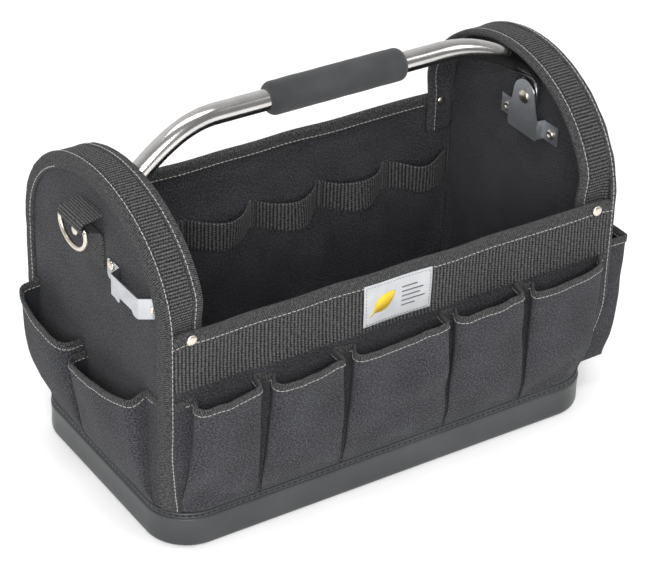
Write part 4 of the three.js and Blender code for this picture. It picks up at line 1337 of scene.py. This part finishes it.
def handle_half(side):
    """Stations of one half: x, z, tilt, half thickness, half width, squareness."""
    stations = []
    round_tube = (TUBE["radius"], TUBE["radius"], 2.0)
    for x in np.linspace(0, TUBE["straight"], 24)[:-1]:
        stations.append((x, TUBE["top"], 0.0, *round_tube))
    bend = np.array([(TUBE["straight"], TUBE["top"]), *BENDS[side]], float)
    for t in np.linspace(0, 0.86, 34):
        s = 1 - t
        point = s ** 3 * bend[0] + 3 * s * s * t * bend[1] + 3 * s * t * t * bend[2] + t ** 3 * bend[3]
        legs = np.diff(bend, axis=0)
        way = 3 * s * s * legs[0] + 6 * s * t * legs[1] + 3 * t * t * legs[2]
        stations.append((*point, math.atan2(-way[1], way[0]), *round_tube))
    upright = math.pi / 2
    high, middle, low = SHOULDERS[side]
    knots = [
        stations[-1], (206, high, 0.68, 8.0, 11, 2.3), (213, middle, 0.88, 5.4, 13.4, 3.0),
        (218.6, low, 1.2, 3.1, 15.3, 4.5),
        (LEG["x"], 291.5, upright, LEG["half_thickness"], LEG["half_width"], 8.0),
    ]
    knots = np.array(knots, float)
    share = arc_lengths(knots[:, :2])
    for at in np.linspace(0, share[-1], 26)[1:]:
        values = [np.interp(at, share, knots[:, k]) for k in range(6)]
        stations.append(tuple(values))
    flat = (upright, LEG["half_thickness"])
    for drop in np.linspace(0, 0.995, 16) ** 0.7:
        z = PIVOT_HEIGHT - drop * LEG["half_width"]
        width = LEG["half_width"] * math.sqrt(max(1 - drop * drop, 0.004))
        stations.append((LEG["x"], z, *flat, width, 8.0))
    return np.array(stations)


def build_handle():
    """The bent tube, with its flat rounded ends, as one body from left to right."""
    halves = []
    for side, _ in ENDS:
        half = handle_half(side)
        first, last = 40, len(half) - 17
        for _ in range(3):
            near = half[first - 1:last - 1] + half[first + 1:last + 1]
            half[first:last] = (near + 2 * half[first:last]) / 4
        halves.append(half)
    mirrored = halves[0][1:][::-1].copy()
    mirrored[:, [0, 2]] *= -1
    angles = round_angles(48)
    rings = []
    for x, z, tilt, thin, wide, square in np.concatenate([mirrored, halves[1]]):
        power = 2 / square
        across = thin * np.sign(np.cos(angles)) * np.abs(np.cos(angles)) ** power
        y = wide * np.sign(np.sin(angles)) * np.abs(np.sin(angles)) ** power
        rings.append(together(x + across * math.sin(tilt), y, z + across * math.cos(tilt)))
    bar = loft("handle_bar", rings, body="handle", slot="tube_metal", material=TUBE_METAL)
    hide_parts("handle_tube")


# How far the grip sits to the right of the middle.
SLID = 8.0


def build_grip():
    """Foam sleeve: soft rounded ends and a slightly uneven skin."""
    half = (GRIP_HIGH[0] - GRIP_LOW[0]) / 2 - 4
    radius = (GRIP_HIGH[2] - GRIP_LOW[2]) / 2
    bore, round_end = TUBE["radius"] + 0.1, 7.0
    flat = half - round_end
    turns = np.radians(np.linspace(0, 100, 12))
    arc = together(radius - round_end + round_end * np.cos(turns), flat + round_end * np.sin(turns))
    middle = together(radius, np.linspace(-flat, flat, 50)[1:-1])
    profile = [(bore, 4 - half), *(arc[::-1] * (1, -1)), *middle, *arc, (bore, half - 4)]
    dent = ripples(400, 5, 18, 60)
    angles = round_angles(72)
    rings = []
    for r, h in profile:
        skin = r + 0.12 * dent(h, angles * radius) * (r > radius - 3)
        rings.append(together(h + SLID, skin * np.cos(angles), TUBE["top"] + skin * np.sin(angles)))
    grip = loft("foam_grip", rings, body="handle", slot="foam", material=FOAM)
    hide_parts("handle_grip")


def soften_metal(node, material):
    """A carried-over sheet metal node: pressed edges catch the light."""
    piece = frame["nodes"][node]
    piece.data.materials.clear()
    piece.data.materials.append(material)
    bevel = piece.modifiers.new("edges", "BEVEL")
    bevel.width = 0.5 * MM
    bevel.segments = 2
    bevel.limit_method = "ANGLE"
    bevel.angle_limit = SHARP
    bevel.harden_normals = True


def build_handle_metal():
    """Brackets, the rivets that the tube turns on, and the rivets that hold the brackets."""
    inner, outer = 217.5, 224.3
    profile = [
        (0.01, inner - 3.0), (1.6, inner - 3.0), (3.2, inner - 2.75), (4.8, inner - 2.2),
        (6.1, inner - 1.4), (6.9, inner - 0.5), (7.0, inner), (4.0, inner + 0.02), (4.0, outer),
        (7.0, outer + 0.02), (7.0, outer + 1.3), (0.01, outer + 1.5),
    ]
    for side, sign in ENDS:
        soften_metal(f"{side}_handle_bracket", STEEL)
        rivet = lathe(f"{side}_pivot", profile, (0, 0, PIVOT_HEIGHT), (sign, 0, 0), **RIVET_LOOK)
        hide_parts(f"{side}_pivot_rivet")
        for half in ("front", "back"):
            eyelet(f"{side}_{half}_bolt", f"{side}_{half}_bracket_screw", sign)


def eyelet(name, node, sign):
    """A tubular rivet: a dished tail ring inside the bag and a domed head outside."""
    low, high = span(node)
    half = (high[0] - low[0]) / 2
    profile = [
        (0.01, -half + 1.5), (1.5, -half + 1.5), (1.9, -half + 0.5), (2.5, -half), (3.6, -half + 0.1),
        (4.5, -half + 0.7), (4.8, -half + 1.5), (4.8, -half + 2.1), (2.2, -half + 2.2), (2.2, half - 2.3),
        (4.8, half - 2.2), (4.9, half - 1.6), (4.4, half - 0.9), (3.2, half - 0.35), (1.6, half - 0.05),
        (0.01, half),
    ]
    piece = lathe(name, profile, (low + high) / 2, (sign, 0, 0), **RIVET_LOOK)
    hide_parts(node)


# ---------------------------------------------------------------- D-rings, straps and clip

# wire: its radius; out: from the end wall to the bar, at height z; drop: from the bar to the bow's foot.
RING = {"wire": 2.15, "out": 19.0, "z": 277.5, "half_width": 22.85, "drop": 23.0, "corner": 5.0}


def ring_line():
    """The D: a straight bar at the top and a round bow below."""
    half, corner, drop = RING["half_width"], RING["corner"], RING["drop"]
    bar = together(np.linspace(0, half - corner, 12), 0.0)
    turns = np.radians(np.linspace(80, 0, 9))
    bend = together(half - corner + corner * np.cos(turns), -corner + corner * np.sin(turns))
    turns = np.radians(np.linspace(0, 90, 30))[1:]
    bow = together(half * np.cos(turns), -corner - (drop - corner) * np.sin(turns))
    right = np.concatenate([bar, bend, bow])
    return np.concatenate([right, right[1:-1][::-1] * (-1, 1)])


def build_ring(side, sign):
    """The D-ring's wire. It hangs outside the end wall and turns about its bar."""
    line = ring_line()
    tangent = unit(np.roll(line, -1, axis=0) - np.roll(line, 1, axis=0))
    angles = round_angles(20)
    across = RING["wire"] * np.cos(angles)
    x = sign * (HALF_LENGTH + RING["out"] + RING["wire"] * np.sin(angles))
    rings = [together(x, y - tz * across, RING["z"] + z + ty * across)
             for (y, z), (ty, tz) in zip(line, tangent)]
    piece = loft(f"{side}_ring", rings, looped=True, body=f"{side}_ring", slot="nickel", material=NICKEL)
    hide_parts(f"{side}_d_ring")


def build_ring_strap(side, sign):
    """Webbing sewn flat on the end wall, then folded out round the ring's bar and back."""
    face = HALF_LENGTH + 0.4
    bar_x, bar_z = HALF_LENGTH + RING["out"], RING["z"]
    hold, loop = RING["wire"] + 1.1, 5.4
    low, high, half_width = STRAP_LOW[2], STRAP_HIGH[2], STRAP_HIGH[1]
    foot = [(face + 0.7, low), (face + 0.8, bar_z - hold - 3.5), (bar_x - 9, bar_z - hold - 0.6)]
    turns = np.radians(np.linspace(-80, 85, 14))
    arc = together(bar_x - 2.0 + loop * np.cos(turns), bar_z + 2.0 + loop * np.sin(turns))
    tail = [(bar_x - 9.0, bar_z + loop + 3.4), (face + 3.4, high - 1.8), (face + 0.8, high)]
    line = cut_corners(np.concatenate([foot, arc, tail]), 2)
    at = np.arange(0, arc_lengths(line)[-1], RIB["strap"] / 8)
    line = resample(line, at)
    normal = -line_normals(line)
    y = np.linspace(-half_width, half_width, 60)
    ribs = rib_height(at, RIB["strap"], 0.6)[:, None] * selvedge(half_width - np.abs(y), 1.0)
    sides = []
    for lift in (0.35 + ribs, np.full_like(ribs, -0.7)):
        plan = line[:, None] + normal[:, None] * lift[..., None]
        sides.append(together(sign * plan[..., 0], y, plan[..., 1]))
    flat = together(at[:, None] / RIB["strap"], y)
    strap = slab(f"{side}_ring_webbing", *sides, flat, **STRAP_LOOK)
    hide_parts(f"{side}_ring_strap")
    inset = half_width - 2.2

    def place(p):
        return together(sign * (face + 1.75), p[:, 0], p[:, 1])

    rows = boxed_stitches((-inset, low + 2.2), (inset, bar_z - hold - 8), place, (float(sign), 0.0, 0.0),
                          24, 500, pitch=3.6, length=2.9, radius=0.4)
    build_stitches(f"{side}_strap_stitches", rows, slot="webbing", material=BLACK_THREAD)


def cut_corners(line, times):
    """Rounds a line by cutting each corner, and keeps its ends."""
    for _ in range(times):
        cuts = np.stack([line[:-1] * 0.75 + line[1:] * 0.25, line[:-1] * 0.25 + line[1:] * 0.75], axis=1)
        line = np.concatenate([line[:1], cuts.reshape(-1, line.shape[1]), line[-1:]])
    return line


def build_tape_clip():
    """Pressed zinc clip: two flanges, a raised plate with a notched lower edge, rounded corners."""
    front, back = CLIP_LOW[1], CLIP_HIGH[1]
    laid, raised = 0.4, -CLIP_LOW[0] - HALF_LENGTH - 1.0
    sheet, radius = 1.0, 4.0
    folds = [(back, laid), (-47.5, laid), (-51.5, raised), (-96.5, raised), (-102.5, laid), (front, laid)]
    knots = rounded_line(folds, (1.2,) * 4, (2, 2, 2, 2, 2))
    y = np.unique(np.concatenate([np.linspace(back, front, 130), knots[:, 0]]))[::-1]
    out = np.interp(-y, -knots[:, 0], knots[:, 1])
    step = smooth(-y, 65.6, 66.6)
    notch = 3.6 * step * (1 - smooth(-y, 86, 91)) - 1.6 * smooth(-y, 58, 63) * (1 - step)
    past = np.clip(np.abs(y - (front + back) / 2) - ((back - front) / 2 - radius), 0, radius)
    end = radius - np.sqrt(radius ** 2 - past ** 2)
    bottom, top = CLIP_LOW[2] + 1.6 + notch + end, CLIP_HIGH[2] - end
    z = mix(bottom[:, None], top[:, None], np.linspace(0, 1, 12))
    slope = np.gradient(out, y)
    length = np.sqrt(1 + slope ** 2)
    sides = [
        together(-(HALF_LENGTH + out + away / length)[:, None], (y - away * slope / length)[:, None], z)
        for away in (sheet, 0.0)
    ]
    plate = slab("tape_clip_plate", *sides, together(y[:, None], z), slot="zinc", material=ZINC)
    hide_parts("tape_clip")
    plate.data.set_sharp_from_angle(angle=SHARP)
    eyelet("tape_clip_fixing", "tape_clip_rivet", -1)


# ---------------------------------------------------------------- studio

def look_along(right, up):
    """Rotation of an object that looks along -Z, from its own right and up."""
    right, up = np.array(right), np.array(up)
    back = np.cross(right, up)
    matrix = Matrix([[right[i], up[i], back[i]] for i in range(3)])
    return matrix.to_quaternion()


def build_camera():
    """The main view, from above the front left corner. Lengths are metres here."""
    camera = bpy.data.objects.new("camera", bpy.data.cameras.new("camera"))
    bpy.context.scene.collection.objects.link(camera)
    camera.data.sensor_width = 36.0
    camera.data.lens = 136.8
    camera.location = (-1.0505, -1.5876, 1.3253)
    camera.rotation_mode = "QUATERNION"
    camera.rotation_quaternion = look_along((0.8417, -0.5393, 0.0267), (0.2661, 0.4573, 0.8486))
    camera.data.clip_start, camera.data.clip_end = 0.05, 50
    bpy.context.scene.camera = camera


def area_light(name, place, target, size, power):
    """A rectangular light aimed at a target. Lengths are metres."""
    data = bpy.data.lights.new(name, "AREA")
    data.shape = "RECTANGLE"
    data.size, data.size_y = size
    data.energy = power
    light = bpy.data.objects.new(name, data)
    bpy.context.scene.collection.objects.link(light)
    light.location = place
    aim = Vector(target) - Vector(place)
    light.rotation_mode = "QUATERNION"
    light.rotation_quaternion = aim.to_track_quat("-Z", "Y")


def world_light():
    """A pale room for the metal to mirror: bright behind the bag and darker in front of it."""
    world = bpy.data.worlds.new("studio")
    world.use_nodes = True
    tree = world.node_tree
    way = tree.nodes.new("ShaderNodeTexCoord")
    split = tree.nodes.new("ShaderNodeSeparateXYZ")
    tree.links.new(way.outputs["Generated"], split.inputs[0])
    ramp = tree.nodes.new("ShaderNodeMapRange")
    for key, value in {1: -0.35, 2: 0.75, 3: 0.3, 4: 0.9}.items():
        ramp.inputs[key].default_value = value
    tree.links.new(split.outputs["Y"], ramp.inputs[0])
    tree.links.new(ramp.outputs[0], tree.nodes["Background"].inputs["Color"])
    tree.nodes["Background"].inputs["Strength"].default_value = 1.0
    bpy.context.scene.world = world


def build_studio():
    """Room, three lights and the floor."""
    bpy.context.scene.view_settings.view_transform = "Standard"
    world_light()
    area_light("key", (-1.5, -2.4, 1.6), (0, 0, 0.15), (1.5, 1.2), 93)
    area_light("fill", (2.2, -1.6, 2.0), (0, 0, 0.15), (1.2, 1.2), 16)
    area_light("top", (-0.2, -0.2, 2.8), (0, 0, 0.1), (2.2, 0.7), 44)
    size = 6.0
    mesh = bpy.data.meshes.new("studio_floor")
    corners = [(-size, -size, 0), (size, -size, 0), (size, size, 0), (-size, size, 0)]
    mesh.from_pydata(corners, [], [(0, 1, 2, 3)])
    floor = bpy.data.objects.new("studio_floor", mesh)
    mesh.materials.append(floor_material())
    bpy.context.scene.collection.objects.link(floor)
    floor.location = (0, 0, -0.0005)


# ---------------------------------------------------------------- assembly

build_camera()
build_studio()
build_tray()
build_board()
for side, sign in FACES:
    build_side_panel(side, sign)
    build_rim(side, sign)
    build_band(side, sign)
    build_side_pockets(side, sign)
for side, sign in ENDS:
    build_end_panel(side, sign)
    build_outer_binding(side, sign)
    build_gusset(side, sign)
    build_gusset_webbing(side, sign)
    build_inner_binding(side, sign)
    build_ring(side, sign)
    build_ring_strap(side, sign)
build_rim_rivets()
build_label()
build_left_pockets()
build_right_pocket()
build_tool_loops()
build_handle()
build_grip()
build_handle_metal()
build_tape_clip()
